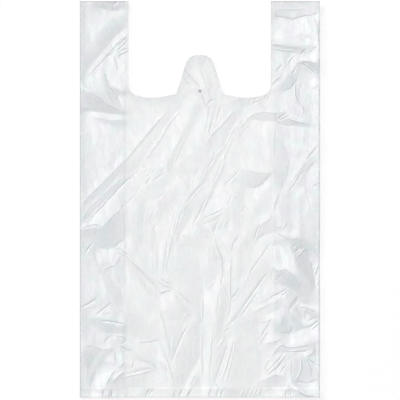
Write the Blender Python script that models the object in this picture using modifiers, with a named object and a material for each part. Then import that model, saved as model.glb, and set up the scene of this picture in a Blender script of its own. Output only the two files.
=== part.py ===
"""A thin plastic carrier bag of the vest shape, creased from use and lying on its back.

The bag is one tube of blown film. It is laid flat with a gusset folded in at each side, welded
across near its bottom edge and at its two handle tops, and die-cut through all its layers for
the mouth and the tab in the middle of it. One hot-pin spot fuses the layers of the tab.

The frame has +X across the bag, +Y from the bottom edge up to the handles, and +Z up out of the
surface that the bag lies on. The origin is under the bag's middle. The shape is drawn with y
counted from the bottom edge, and main() then moves it to the origin.
"""
import math

import bmesh
import bpy
from mathutils import Matrix, Vector
from mathutils.bvhtree import BVHTree
from mathutils.geometry import barycentric_transform, delaunay_2d_cdt, intersect_point_line

MM = 0.001

# The bag laid flat
WIDTH = 300 * MM
LENGTH = 496 * MM
GUSSET = 56.5 * MM          # how far each side gusset is folded in
HANDLE_WIDTH = 61 * MM

# The film
FILM = 0.03 * MM
AIR = 0.12 * MM             # least space between two layers
SLACK = 3 * MM              # most space between the front and the back
GUSSET_STEP = 14 * MM       # run over which the front rises to clear a gusset

# The die-cut mouth
MOUTH_DEPTH = 122 * MM      # from the handle tops to the corner that the mouth's floor rounds off
MOUTH_SAG = 6 * MM          # how far that corner lies below the mouth's other corners
MOUTH_CURVE = 70 * MM       # radius of the floor
MOUTH_CORNER = 14 * MM      # radius where the floor runs into a handle
TAB_HEIGHT = 48.5 * MM
TAB_FOOT = 59 * MM          # width at the foot
TAB_TOP = 28 * MM           # width at the top
TAB_ROUNDING = 14 * MM
TAB_FILLET = 4 * MM
ROUNDING_SHARE = 0.48       # most of a straight side that one rounding may take

# The welds
SEAL_HEIGHT = 12 * MM       # middle of the bottom weld above the bottom edge
SEAL_WIDTH = 3 * MM
HANDLE_SEAL_WIDTH = 2 * MM
SEAL_MARGIN = 1 * MM        # level strip of film on each side of a weld
BEAD = 0.05 * MM            # how far the melted edge stands out past the film
PIN_RISE = 3.7 * MM         # middle of the hot-pin spot above the tab's foot
PIN_RADIUS = 2 * MM
PIN_MARGIN = 1.2 * MM       # level ring of film around it
SEAL_FADE = 45 * MM         # run over which the slack opens up from a weld

# How finely the shape is drawn
EDGE_STEP = 22 * MM
ARC_STEP = 6 * MM
PIN_SIDES = 10
NEARLY = 1e-6                # two places this close count as one

PITCH = FILM + AIR
SIDE = WIDTH / 2 - BEAD - FILM / 2              # where the flat layers turn into the outer folds
INNER_FOLD = WIDTH / 2 - GUSSET
MOUTH_EDGE = WIDTH / 2 - HANDLE_WIDTH
TOP = LENGTH - BEAD
SEAL_ROWS = (SEAL_HEIGHT - SEAL_WIDTH / 2 - SEAL_MARGIN, SEAL_HEIGHT + SEAL_WIDTH / 2 + SEAL_MARGIN)
HANDLE_SEAL_ROW = LENGTH - HANDLE_SEAL_WIDTH - SEAL_MARGIN
MOUTH_FLOOR = LENGTH - MOUTH_DEPTH
TAB_FOOT_LINE = MOUTH_FLOOR + MOUTH_SAG
PIN = Vector((0, TAB_FOOT_LINE + PIN_RISE))
PIN_LEVEL = PIN_RADIUS + PIN_MARGIN

# The creases, as (across, along, up) in millimetres on a bag of SURVEY size. They follow the bag
# when its width or length changes. Between its creases the film spans in flat facets.
SURVEY = (300, 496)
LEFT_HANDLE = (
    ((-150, 491, 1.6), (-134, 491.5, 3.4), (-125, 487, 2), (-110, 482, 1.2), (-89, 484, 1)),
    ((-89, 476, 3), (-97, 476.5, 3.2), (-107, 479, 3.6), (-113, 473, 4.2), (-130, 461, 4.8),
     (-150, 446, 4.2)),
    ((-89, 462, 1.2), (-98, 457, 0.8), (-112, 443, 0.5), (-128, 424, 0.4), (-143, 405, 0.5),
     (-150, 397, 0.8)),
    ((-89, 455, 1.8), (-100, 450, 2.6), (-109, 441, 3.1), (-119, 429, 3.5), (-131, 416, 3.2),
     (-145, 398, 1.6)),
    ((-99, 447.5, 1.6), (-107.5, 438.5, 1.6), (-117, 427, 1.8), (-129.5, 414, 1.9), (-142, 398, 1.3)),
    ((-104.5, 436, 1.3), (-98, 443, 1.2), (-91, 450.5, 1)),
    ((-103.5, 434, 2.4), (-97, 441, 2.5), (-89, 449, 2.6)),
    ((-101.5, 432.5, 1.4), (-89, 443, 1.1)),
    ((-101, 430.5, 2.3), (-89, 438, 2.7)),
    ((-100, 428.5, 1.4), (-89, 433, 1.3)),
    ((-105, 427, 2.6), (-102, 417, 2.5), (-101, 408, 2)),
    ((-122, 418, 2.6), (-124, 404, 2.8), (-119, 390, 2.8), (-112, 378, 2.6), (-104, 366, 2)),
    ((-116, 410, 1.4), (-117, 398, 1), (-112.5, 386, 0.8), (-106, 375, 0.8), (-99, 363, 1)),
    ((-111.5, 389.5, 2.6), (-100, 385.5, 2.6), (-89, 382.5, 1.6)),
    ((-110, 386.5, 1.2), (-99, 376, 0.9), (-89, 378, 1)),
    ((-150, 390, 4.2), (-143, 387, 4.4), (-130, 377, 4.2), (-118, 368.5, 4), (-110, 366, 3.6),
     (-97, 358, 2)),
    ((-150, 357, 0.4), (-128, 357, 0.4), (-110, 354.5, 0.5), (-97, 354, 0.8), (-78, 359, 1.6)),
    ((-150, 353, 1.8), (-135, 351, 2.4), (-122, 348, 3), (-108, 346, 3), (-90, 347, 2.4),
     (-78, 350, 2)),
    ((-118, 342, 1.6), (-111, 338, 1.2), (-99, 336, 1), (-89, 341, 1.4)),
)
RIGHT_HANDLE = (
    ((89, 484.5, 3), (97, 486, 3.2), (121, 485.5, 3.2), (129, 487, 3), (136, 484, 2.6),
     (150, 482, 1.4)),
    ((89, 477.5, 1.4), (110, 475, 1), (117, 472.5, 0.8), (127, 476.5, 1), (141, 477.5, 1.2)),
    ((143, 475, 2.6), (146.5, 464, 3), (147.5, 452, 2.8)),
    ((131, 469, 2.4), (131.5, 456, 3), (138, 448, 2.6)),
    ((125, 454, 1.8), (133, 450, 1.6)),
    ((89, 442.5, 3.2), (104, 441.5, 3.6), (125, 440, 3.6), (146, 439.5, 2.6)),
    ((89, 434.5, 1.2), (105, 433, 0.8), (120, 431.5, 0.6), (127, 431, 0.8)),
    ((144, 438, 2), (136, 431, 2.8), (128, 426, 3), (122, 423, 2.6)),
    ((123, 420, 2.4), (133, 420.5, 3.9), (150, 417.5, 4.8)),
    ((125, 418, 1.8), (131, 415.5, 1.4), (140, 409.5, 0.8), (150, 402, 0.3)),
    ((132, 413, 2), (140, 407, 2.1), (150, 399, 1.8)),
    ((113, 427, 1.2), (109, 417, 0.9), (101, 400, 0.8), (91.5, 391, 1)),
    ((118, 421, 3), (118, 411, 3.4), (112, 402, 3.2), (101, 395, 2.5), (95.5, 388, 1.8)),
    ((126, 413, 1), (124, 404, 0.8), (120, 395, 0.7), (115, 388, 0.7), (108, 384, 0.8), (97, 382, 1.2)),
    ((120, 386, 2), (121, 378, 2.6), (126, 369, 3.1), (130, 361, 3.4), (128, 354.5, 3),
     (120, 351, 2.4)),
    ((129, 381, 1.8), (136, 371, 1.2), (141, 358, 0.8), (143, 347, 1)),
)
TAB = (
    ((-22, 411, 2.4), (-10, 400, 2.8), (-3, 391, 1.8)),
    ((-21.5, 399, 1.2), (-13, 393.5, 1.2), (-7, 388, 1.2)),
    ((-7, 426, 2), (0, 410, 2.4), (5, 396, 2.2), (7, 389, 1.6)),
    ((10, 425, 1.2), (13, 404, 1), (17, 388, 1.1)),
    ((4, 378, 1.3), (9, 364, 2.4), (11, 345, 2.8), (8, 325, 2.4)),
    ((-4, 368, 2.6), (-17, 341, 3), (-28, 318, 3.2), (-35, 303, 3.4), (-38, 298, 3)),
    ((1, 355, 1.4), (-11, 336, 1.3), (-20, 320, 1.1), (-26, 305, 1.1), (-32, 296, 1.2),
     (-37, 283, 0.9)),
)
UPPER_LEFT = (
    ((-30, 371, 1.6), (-57, 343, 2.8), (-70, 325, 3.4), (-90, 301, 4), (-110, 279.5, 4.2),
     (-130, 259, 4), (-150, 239, 2.8)),
    ((-97, 281, 1.6), (-120, 257, 1.5), (-150, 229, 1.3)),
    ((-98, 275, 2.6), (-121, 251, 2.7), (-150, 222, 2)),
    ((-23, 366, 1.2), (-33, 350, 1.1), (-48, 325, 1), (-60, 308, 0.9), (-74, 290, 0.6),
     (-90, 273, 0.4)),
    ((-90, 273, 0.4), (-105, 259.5, 0.3), (-120, 244.5, 0.3), (-135, 229, 0.3), (-150, 214.5, 0.4)),
    ((-73, 287, 1.8), (-89, 271, 2), (-104, 257.5, 2.1), (-119, 242.5, 2.1), (-134, 227, 1.9),
     (-146, 215.5, 1.2)),
    ((-69, 266, 1), (-62, 276, 1.6), (-55, 287, 2)),
    ((-60, 269, 1.1), (-50, 277, 1.2), (-43, 281.5, 1.3)),
    ((-70, 262, 1.6), (-82, 250, 1.4), (-91, 242, 1.4)),
    ((-97, 237.5, 3), (-108, 227, 3.6), (-120, 216, 3.9), (-125, 212.5, 3.6), (-130, 216, 3.8),
     (-150, 211.5, 1.6)),
    ((-150, 206, 0.9), (-140, 201, 0.5), (-131, 194.5, 0.4), (-124, 187.5, 0.4), (-113, 186, 0.4),
     (-97, 197, 0.8)),
    ((-110, 184, 1.2), (-98, 182.5, 1.8), (-86, 171, 3.2), (-70, 157, 3.5), (-57, 142, 3.3),
     (-48, 132, 2.6)),
    ((-89, 169.5, 1.2), (-73, 154.5, 1.1), (-60, 140, 1), (-50, 129.5, 1.2)),
    ((-79, 242, 2.4), (-80, 215, 2.6), (-84, 190, 2.3)),
    ((-69, 245, 1), (-71, 215, 0.9), (-73, 190, 1.1)),
    ((-51, 220.5, 1.8), (-58, 212, 2.4), (-62, 200, 2.4), (-61, 180, 2)),
)
MIDDLE = (
    ((38, 350, 1.6), (28, 330, 2.2), (19, 305, 2.8), (10, 287, 3.2), (0, 268, 3.4), (-12, 253, 3.3),
     (-20, 240, 3)),
    ((-20, 240, 3), (-28, 220, 2.7), (-36, 200, 2.5), (-41, 180, 2.3), (-44, 158, 2)),
    ((23, 300, 1.2), (13, 281.5, 1), (3, 263, 0.9), (-9, 248, 0.9), (-17, 235, 1), (-25, 216, 1),
     (-33, 198, 1)),
    ((52, 350, 1.8), (43, 335, 2.5), (35, 312, 2.8), (27, 291, 3), (20, 273, 3.1), (11, 254, 2.9),
     (0, 233, 2.8), (-8, 215, 2.4)),
    ((30.5, 289, 1.2), (23, 270, 1), (14, 251, 1), (4, 231, 1.2)),
    ((13, 226, 2.3), (24, 231, 2.8), (32, 239, 2.8)),
    ((4, 216.5, 1), (15, 221.5, 1.2), (24, 227, 1.4)),
    ((15, 210, 1.6), (22, 192, 2), (29, 177, 2.6), (29.5, 160, 2.8), (28, 140, 2.8), (27, 120, 2.6),
     (23, 103, 2.6)),
    ((23, 103, 2.6), (19, 80, 2.4), (17, 55, 2.4), (14, 28, 2), (13, 17, 1.4)),
    ((2, 128, 1), (3, 95, 0.9), (3, 62, 0.9), (0, 45, 1), (-9, 29, 1), (-17, 18, 1.1)),
    ((39, 178, 1.4), (38.5, 160, 1.1), (38, 140, 1), (38, 120, 1), (34, 105, 1.1), (30, 93, 1.4)),
    ((-52, 195, 2), (-52, 165, 2.4), (-49, 145, 2)),
    ((-35, 180, 1.2), (-37, 160, 1.1), (-39, 143, 1.2)),
)
UPPER_RIGHT = (
    ((55, 345, 1.8), (62, 353, 2.6), (72, 357, 3), (80, 358, 3.2), (91, 356.5, 3.2), (103, 356.5, 2.8)),
    ((58, 341, 1.4), (70, 348.5, 1.2), (82, 346.5, 1.1), (97, 345.5, 0.8), (110, 342, 0.7),
     (119, 339.5, 0.8), (143, 337, 1.4)),
    ((100, 350, 2.2), (107, 350.5, 3.8), (125, 346.5, 4.1), (139, 343, 3), (150, 342, 2)),
    ((31, 267, 2.1), (40, 276.5, 2.6), (50, 286, 2.9), (56, 285.5, 3.3), (68, 281.5, 3.7),
     (86, 281, 3.5), (91, 284, 3)),
    ((56, 270, 1.2), (62, 264.5, 0.8), (69, 262.5, 0.7), (76, 265.5, 0.8), (84, 271.5, 1),
     (90.5, 278, 1.5)),
    ((85, 342, 2.2), (85, 320, 2.9), (88, 300, 3.3), (96, 280, 3.4), (99, 265, 2.6)),
    ((112, 335, 1.4), (111, 318, 0.9), (112, 300, 0.6), (110, 284, 0.6), (106, 268, 0.8),
     (102, 259, 1.2)),
    ((150, 317.5, 2.2), (140, 304, 3.2), (130, 288.5, 3.5), (120, 273.5, 3.3), (111, 260, 2.6)),
    ((150, 303, 0.6), (141, 290, 0.6), (132, 279, 0.8), (126, 267, 1), (121, 254, 1.4)),
    ((100, 254, 2), (95.5, 243, 2.8), (91, 230, 3.4), (86, 222, 3.6), (77, 217.5, 3.6), (73, 207, 3.2),
     (68, 192, 2.8)),
    ((68, 192, 2.8), (60, 172, 2.4), (53, 152, 2)),
    ((74, 197.5, 1), (83, 203.5, 0.9), (97, 206, 0.8), (106, 205, 0.9), (114, 205, 1.2)),
    ((107, 233, 2.2), (109, 221, 2.4), (106, 212, 2)),
    ((114, 250, 1.2), (115, 228, 1.1), (118, 212, 1.2)),
    ((123, 250, 2.9), (124, 230, 3), (123, 210, 2.8)),
    ((133, 265, 1), (137, 248, 0.8), (142, 226, 0.6), (150, 198, 0.8)),
)
LOWER_RIGHT = (
    ((105, 200.5, 2.4), (118, 199, 3.4), (126, 194, 3.9), (132, 186, 4.2), (139, 168, 4.2),
     (142, 155, 3.4), (145, 142, 1.6)),
    ((98, 196, 1.2), (108, 183, 0.7), (120, 166, 0.4), (133, 149, 0.4), (143, 138, 0.8)),
    ((91, 195, 2.2), (84, 186, 2.8), (75, 172, 3), (65, 158, 2.8), (56, 145, 2.4), (47, 131, 1.8)),
    ((91, 164, 2.2), (98, 157.5, 2.6), (108, 158.5, 3.3), (117, 151, 3.6), (127, 136, 3.4),
     (134, 121, 2.6), (137, 109, 1.6)),
    ((97, 142, 0.8), (104, 139, 0.7), (113, 137.5, 0.7), (118, 128, 0.7), (124, 122, 0.8),
     (128, 113, 0.8)),
    ((88, 160, 2.4), (80, 151, 3), (70, 139, 3.2), (60, 127, 3.2), (50, 112, 3.2), (41, 98, 2.8),
     (34, 86, 2)),
    ((90, 156, 1.2), (82, 147.5, 1.1), (72, 135.5, 1.1), (62, 123.5, 1.1), (52, 108.5, 1.1),
     (43, 94.5, 1.2)),
    ((72, 109, 1.8), (81, 114.5, 2.6), (90.5, 120, 3), (103, 128.5, 3), (110, 134, 2.2)),
    ((72, 104.5, 1.1), (84, 105, 0.9), (96.5, 107.5, 0.8), (102, 112, 0.9)),
    ((111, 106.5, 2.4), (115.5, 115, 3.1), (119, 122, 2.4)),
    ((118, 113, 2.8), (123, 106, 2.8), (129, 93, 2)),
    ((105, 111, 2.6), (110, 100, 2.6), (115, 84, 2.2)),
    ((150, 103, 0.6), (142, 105, 0.6), (133, 108.5, 1)),
    ((101, 84, 0.8), (108, 79.5, 0.7), (116, 80, 0.9), (128, 86, 0.8), (139, 88, 1), (150, 92, 1)),
    ((91, 98, 2.7), (84, 88, 2.6), (79, 77, 2.4), (75, 66, 2)),
    ((72, 92, 1.2), (68, 82, 1), (56, 74, 1.1)),
    ((102, 65, 2.8), (115, 62.5, 3.3), (130, 65.5, 3.3), (142, 69, 2.6), (150, 72, 1.8)),
    ((97, 57, 1.4), (112, 56.5, 1), (127, 56.5, 1), (140, 58, 1.1)),
    ((100, 63, 2.8), (96, 60, 3), (89, 50, 2.8), (84, 40, 2.4), (79, 29, 1.8)),
    ((113, 53, 2.4), (106, 48.5, 3.2), (98, 39, 3.5), (90, 31.5, 3.3), (82, 25, 2.2)),
    ((115, 50.5, 1.2), (108, 46, 0.9), (100, 36.5, 0.8), (91, 28, 0.8), (84, 23, 1.1)),
    ((119, 48, 2.8), (115.5, 33, 2.9), (113, 18, 2)),
    ((110, 44, 1.2), (109.5, 30, 0.9), (109, 18, 1)),
    ((127, 52, 2.6), (128, 40, 3.3), (124.5, 29, 3.1), (120, 23, 2.2)),
    ((121, 19, 0.9), (136, 17, 0.7), (150, 23, 1)),
    ((131, 51, 3), (140, 43, 2.8), (150, 36, 1.8)),
    ((45, 78, 2.4), (41, 60, 2.9), (35, 40, 3), (29, 20, 2.2)),
    ((35, 76, 1.2), (30, 55, 1), (23, 32, 0.9), (18, 18, 1)),
)
LOWER_LEFT = (
    ((-46, 128, 2), (-45, 103, 2.8), (-41, 84, 2.9), (-38, 66, 2.8), (-37, 50, 2.2)),
    ((-66, 95, 1.4), (-57, 80, 1.3), (-50, 70, 1.1), (-45, 54, 0.9), (-41, 42, 0.9), (-35, 22, 1)),
    ((-10, 99, 2.2), (-18, 82, 2.8), (-25, 67, 3.1), (-31, 52, 2.8), (-34.5, 41, 1.9)),
    ((-21, 84, 1.3), (-28, 68, 1.2), (-33, 54, 1.2)),
    ((-42, 144, 1.9), (-33, 130, 2.4), (-22, 115, 2.6), (-12, 103, 2.4), (-2, 97, 2)),
    ((-137, 183, 2), (-130, 170, 2.8), (-124, 158, 3.3), (-118, 140, 3.3), (-112, 125, 3),
     (-106, 115, 2.4)),
    ((-113, 158, 1.3), (-105, 143, 0.9), (-98, 126, 0.7), (-97, 111, 0.8)),
    ((-150, 112, 1.6), (-138, 119, 2.9), (-128, 125.5, 2.4)),
    ((-147, 109, 1.2), (-136, 111, 1.2), (-125, 113, 1.2)),
    ((-110, 118, 2.4), (-120, 110.5, 2.9), (-130, 102.5, 2.6), (-118, 98, 3), (-108, 94.5, 3),
     (-97, 91.5, 2.6), (-83, 91, 2)),
    ((-150, 104, 0.7), (-140, 95, 0.5), (-130, 86, 0.5), (-120, 79, 0.6), (-108, 78, 0.6),
     (-97, 79, 0.7), (-80, 77, 0.9), (-56, 73, 1.5)),
    ((-119, 68, 2), (-111, 73, 2.3), (-98, 73, 2.4), (-90, 69.5, 2.2)),
    ((-100, 65, 1.8), (-90, 58.5, 2.4), (-82, 56, 2.5), (-70, 48, 2.3), (-57, 41, 1.6)),
    ((-150, 65, 2.6), (-138, 64, 3.2), (-124, 61, 3.3), (-130, 48, 2.4), (-135, 30, 1.8)),
    ((-145, 48, 0.6), (-142, 30, 0.5), (-140, 18, 0.6)),
    ((-97, 43, 1.8), (-104, 36, 2.7), (-112, 26, 2.8), (-117, 18, 1.6)),
    ((-109, 19, 1.6), (-100, 27, 2.7), (-88, 32, 3.1), (-72, 35, 3), (-57, 37, 2)),
    ((-98, 23, 0.8), (-86, 27.5, 0.9), (-70, 30, 1), (-55, 33, 1.2)),
)
SKIRT = (
    ((-109, 7, 2), (-110, 0, 2.2)),
    ((-60, 7, 2), (-66, 0, 2.2)),
    ((-63, 7, 1), (-69, 0, 0.9)),
    ((-23, 7, 1.8), (-26, 0, 2)),
    ((-10, 7, 1.8), (-15, 0, 2)),
    ((14, 7, 1.8), (11, 0, 2)),
    ((25, 7, 1.8), (22, 0, 2)),
    ((109, 7, 2), (107, 0, 2.2)),
    ((124, 7, 1.8), (133, 0, 0.8)),
)
CREASES = (
    LEFT_HANDLE + RIGHT_HANDLE + TAB + UPPER_LEFT + MIDDLE + UPPER_RIGHT + LOWER_RIGHT + LOWER_LEFT + SKIRT
)

# Where no crease ends, the bag's corners and edges are held at these heights
REST_POINTS = (
    (-152, -2, 1), (-100, -2, 1.2), (-40, -2, 1.2), (50, -2, 1.2), (90, -2, 1.2), (152, -2, 1),
    (-152, 498, 1.4), (-132, 498, 3.6), (-112, 498, 3.6), (-100, 498, 2.4), (-60, 498, 1.6),
    (60, 498, 1.6), (100, 498, 1.8), (125, 498, 1.8), (152, 498, 1), (0, 450, 1.4),
    (-152, 300, 1.4), (-152, 160, 1.4), (-152, 30, 1.2), (152, 370, 1.2), (152, 240, 1), (152, 150, 1),
    (-55, 380, 1.4), (55, 375, 1.4), (70, 372, 2), (40, 362, 2.2),
)


def placed(x, y, z):
    """A surveyed point in metres on this bag."""
    return Vector((x * WIDTH / SURVEY[0], y * LENGTH / SURVEY[1], z * MM))


def crumple_field():
    """The creased surface that the film follows: a tree of its flattened facets, and their raised corners."""
    points = []
    lines = []
    for crease in CREASES:
        first = len(points)
        points += [placed(*point) for point in crease]
        lines += [(i, i + 1) for i in range(first, len(points) - 1)]
    points += [placed(*point) for point in REST_POINTS]
    flat = [point.to_2d() for point in points]
    spots, _, faces, sources, _, _ = delaunay_2d_cdt(flat, lines, [], 0, 1e-6)
    level = [spot.to_3d() for spot in spots]
    raised = [spot.copy() for spot in level]
    for spot, source in zip(raised, sources):
        spot.z = points[source[0]].z if source else SLACK / 2     # no source: two creases cross here
    facets = [([level[i] for i in face], [raised[i] for i in face]) for face in faces]
    return BVHTree.FromPolygons(level, faces), facets


FIELD, FACETS = crumple_field()


def seal_nearby(x, y):
    """The point whose height holds at (x, y): across a weld, the film stays level."""
    if SEAL_ROWS[0] - NEARLY <= y <= SEAL_ROWS[1] + NEARLY:
        return x, SEAL_HEIGHT
    if y >= HANDLE_SEAL_ROW - NEARLY:
        return x, HANDLE_SEAL_ROW
    if (Vector((x, y)) - PIN).length <= PIN_LEVEL + NEARLY:
        return PIN.x, PIN.y
    return x, y


def height(x, y):
    """How far the front of the bag lies above the surface under it."""
    spot = Vector((*seal_nearby(x, y), 0))
    level, raised = FACETS[FIELD.find_nearest(spot)[2]]
    return barycentric_transform(spot, *level, *raised).z


def slack(x, y):
    """How far the front may lie above the back, which is nothing at a weld."""
    to_pin = (Vector((x, y)) - PIN).length - PIN_LEVEL
    to_seal = min(abs(y - SEAL_HEIGHT) - SEAL_WIDTH / 2 - SEAL_MARGIN, HANDLE_SEAL_ROW - y, to_pin)
    share = min(1, max(0, to_seal) / SEAL_FADE)
    return SLACK * share * (2 - share)


def front_rank(x):
    """Layers of film under the front: three over a gusset, one in the middle of the bag."""
    ramp = (abs(x) - INNER_FOLD) / GUSSET_STEP + 1
    return 1 + 2 * min(1, max(0, ramp))


def layer_height(layer, x, y):
    """Height of the middle of one layer's film: back, gusset_back, gusset_front or front."""
    full = height(x, y)
    lift = min(full, slack(x, y))
    from_fold = (abs(x) - INNER_FOLD) / (SIDE - INNER_FOLD)
    rank, share = {
        "back": (0, 0),
        "gusset_back": (1, 0.5 - 0.5 * from_fold),
        "gusset_front": (2, 0.5 + 0.5 * from_fold),
        "front": (front_rank(x), 1),
    }[layer]
    return FILM / 2 + full - lift + rank * PITCH + share * lift


def stations(start, end, step):
    """Places from start to end, evenly spaced by about one step."""
    count = max(1, round(abs(end - start) / step))
    return [start + (end - start) * i / count for i in range(count + 1)]


def rounded(corners):
    """A path through corners given as (x, y, radius), each rounded as far as its sides allow."""
    path = [Vector(corners[0][:2])]
    for before, corner, after in zip(corners, corners[1:], corners[2:]):
        point = Vector(corner[:2])
        back = (Vector(before[:2]) - point).normalized()
        onward = (Vector(after[:2]) - point).normalized()
        turn = math.pi - back.angle(onward)
        shortest = min((Vector(end[:2]) - point).length for end in (before, after))
        radius = min(corner[2], ROUNDING_SHARE * shortest / math.tan(turn / 2))
        centre = point + (back + onward).normalized() * radius / math.cos(turn / 2)
        spoke = point + back * radius * math.tan(turn / 2) - centre
        side = 1 if (-back).cross(onward) > 0 else -1
        for angle in stations(0, turn, ARC_STEP / radius):
            c, s = math.cos(angle), side * math.sin(angle)
            path.append(centre + Vector((spoke.x * c - spoke.y * s, spoke.x * s + spoke.y * c)))
    path.append(Vector(corners[-1][:2]))
    return path


def subdivided(path):
    """The same path with points along its long straight runs."""
    fine = [path[0]]
    for start, end in zip(path, path[1:]):
        shares = stations(0, 1, EDGE_STEP / max((end - start).length, 1e-9))
        fine += [start.lerp(end, share) for share in shares[1:]]
    return fine


def mouth_path():
    """The die-cut edge from the right handle's top round the tab to the left handle's top."""
    half = [
        (MOUTH_EDGE, TOP, 0),
        (MOUTH_EDGE, TAB_FOOT_LINE, MOUTH_CORNER),
        ((MOUTH_EDGE + TAB_FOOT / 2) / 2, MOUTH_FLOOR, MOUTH_CURVE),
        (TAB_FOOT / 2, TAB_FOOT_LINE, TAB_FILLET),
        (TAB_TOP / 2, TAB_FOOT_LINE + TAB_HEIGHT, TAB_ROUNDING),
    ]
    return subdivided(rounded(half + [(-x, y, radius) for x, y, radius in reversed(half)]))


def across(start, end):
    """Stations across the bag that always include the gussets' inner folds."""
    stops = [start] + [x for x in (-INNER_FOLD, INNER_FOLD) if start < x < end] + [end]
    line = [start]
    for a, b in zip(stops, stops[1:]):
        line += stations(a, b, EDGE_STEP)[1:]
    return line


def along(start, end):
    """Stations along the bag that always include the edges of the welds."""
    stops = [start] + [y for y in (*SEAL_ROWS, HANDLE_SEAL_ROW) if start < y < end] + [end]
    line = [start]
    for a, b in zip(stops, stops[1:]):
        line += stations(a, b, EDGE_STEP)[1:]
    return line


def film_outline():
    """The flat film's edge, anticlockwise from the bottom left corner, without its folds."""
    bottom = [Vector((x, 0)) for x in across(-SIDE, SIDE)]
    right = [Vector((SIDE, y)) for y in along(0, TOP)[1:]]
    right_top = [Vector((x, TOP)) for x in reversed(across(MOUTH_EDGE, SIDE)[:-1])]
    mouth = mouth_path()[1:]
    left_top = [Vector((x, TOP)) for x in reversed(across(-SIDE, -MOUTH_EDGE)[:-1])]
    left = [Vector((-SIDE, y)) for y in reversed(along(0, TOP)[1:-1])]
    return bottom + right + right_top + mouth + left_top + left


def inside(point, outline):
    """Whether a point lies within a closed outline."""
    crossings = 0
    for a, b in zip(outline, outline[1:] + outline[:1]):
        if (a.y > point.y) != (b.y > point.y):
            crossings += point.x < a.x + (point.y - a.y) * (b.x - a.x) / (b.y - a.y)
    return crossings % 2 == 1


def crosses_seal(start, end):
    """Whether a crease's run reaches into a weld's level strip or the hot-pin spot."""
    low, high = sorted((start.y, end.y))
    if low < SEAL_ROWS[1] and high > SEAL_ROWS[0]:
        return True
    if high > HANDLE_SEAL_ROW:
        return True
    share = min(1, max(0, intersect_point_line(PIN, start, end)[1]))
    return (start.lerp(end, share) - PIN).length < PIN_LEVEL + PIN_MARGIN


def flat_pattern():
    """The shared pattern of triangles that every layer of film takes its own part of."""
    points = []
    lines = []

    def add_line(path, closed=False):
        first = len(points)
        points.extend(path)
        lines.extend((i, i + 1) for i in range(first, len(points) - 1))
        if closed:
            lines.append((len(points) - 1, first))

    outline = film_outline()
    add_line(outline, closed=True)
    for x in (-INNER_FOLD, INNER_FOLD):
        add_line([Vector((x, y)) for y in along(0, TOP)])
    for y in SEAL_ROWS:
        add_line([Vector((x, y)) for x in across(-SIDE, SIDE)])
    for start, end in ((-SIDE, -MOUTH_EDGE), (MOUTH_EDGE, SIDE)):
        add_line([Vector((x, HANDLE_SEAL_ROW)) for x in across(start, end)])
    turns = [math.tau * i / PIN_SIDES for i in range(PIN_SIDES)]
    add_line([PIN + Vector((math.cos(turn), math.sin(turn))) * PIN_LEVEL for turn in turns], closed=True)
    for crease in CREASES:
        path = [placed(*point).to_2d() for point in crease]
        for start, end in zip(path, path[1:]):
            if not crosses_seal(start, end):
                add_line([start, end])
    spots, _, faces, _, _, _ = delaunay_2d_cdt(points, lines, [], 0, 1e-6)
    kept = [face for face in faces if inside(sum((spots[i] for i in face), Vector((0, 0))) / 3, outline)]
    return spots, kept


def add_layer(bm, layer, spots, faces):
    """One layer of film. It gives back the layer's corners by their place in the pattern."""
    corners = {}
    for i in sorted({i for face in faces for i in face}):
        x, y = spots[i]
        corners[i] = bm.verts.new((x, y, layer_height(layer, x, y)))
    for face in faces:
        order = face if layer in ("front", "gusset_back") else reversed(face)
        bm.faces.new([corners[i] for i in order])
    return corners


def add_fold(bm, upper, lower, spots, x):
    """The tight bend that joins two layers along a fold at x."""
    run = sorted((i for i in upper if i in lower and abs(spots[i].x - x) < NEARLY), key=lambda i: spots[i].y)
    for i, j in zip(run, run[1:]):
        bm.faces.new((upper[i], lower[i], lower[j], upper[j]))


def film_tube(collection, material):
    """The folded tube of film, open at its bottom edge, its mouth and its handle tops."""
    spots, faces = flat_pattern()
    over_gusset = [face for face in faces if abs(sum(spots[i].x for i in face) / 3) > INNER_FOLD]
    bm = bmesh.new()
    front = add_layer(bm, "front", spots, faces)
    gusset_front = add_layer(bm, "gusset_front", spots, over_gusset)
    gusset_back = add_layer(bm, "gusset_back", spots, over_gusset)
    back = add_layer(bm, "back", spots, faces)
    for side in (-1, 1):
        add_fold(bm, front, gusset_front, spots, side * SIDE)
        add_fold(bm, gusset_front, gusset_back, spots, side * INNER_FOLD)
        add_fold(bm, gusset_back, back, spots, side * SIDE)
    bmesh.ops.recalc_face_normals(bm, faces=bm.faces)
    mesh = bpy.data.meshes.new("carrier_bag")
    bm.to_mesh(mesh)
    bm.free()
    mesh.materials.append(material)
    bag = bpy.data.objects.new("carrier_bag", mesh)
    collection.objects.link(bag)
    film = bag.modifiers.new("film", "SOLIDIFY")
    film.thickness = FILM
    film.offset = 0
    return bag


def add_seal(bm, line, ends, start, end):
    """Melted film across all layers, from the middle of the back film to that of the front.

    It follows the stations of line at their heights and runs on level to ends, past the film's edges.
    """
    rows = [(ends[0], line[0])] + [(x, x) for x in line] + [(ends[1], line[-1])]
    level = (start + end) / 2
    profile = []
    for x, seat in rows:
        low = layer_height("back", seat, level)
        high = layer_height("front", seat, level)
        profile.append((bm.verts.new((x, start, low)), bm.verts.new((x, start, high))))
    strip = [bm.faces.new((a[0], b[0], b[1], a[1])) for a, b in zip(profile, profile[1:])]
    grown = bmesh.ops.extrude_face_region(bm, geom=strip)["geom"]
    corners = [part for part in grown if isinstance(part, bmesh.types.BMVert)]
    bmesh.ops.translate(bm, verts=corners, vec=(0, end - start, 0))


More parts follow.
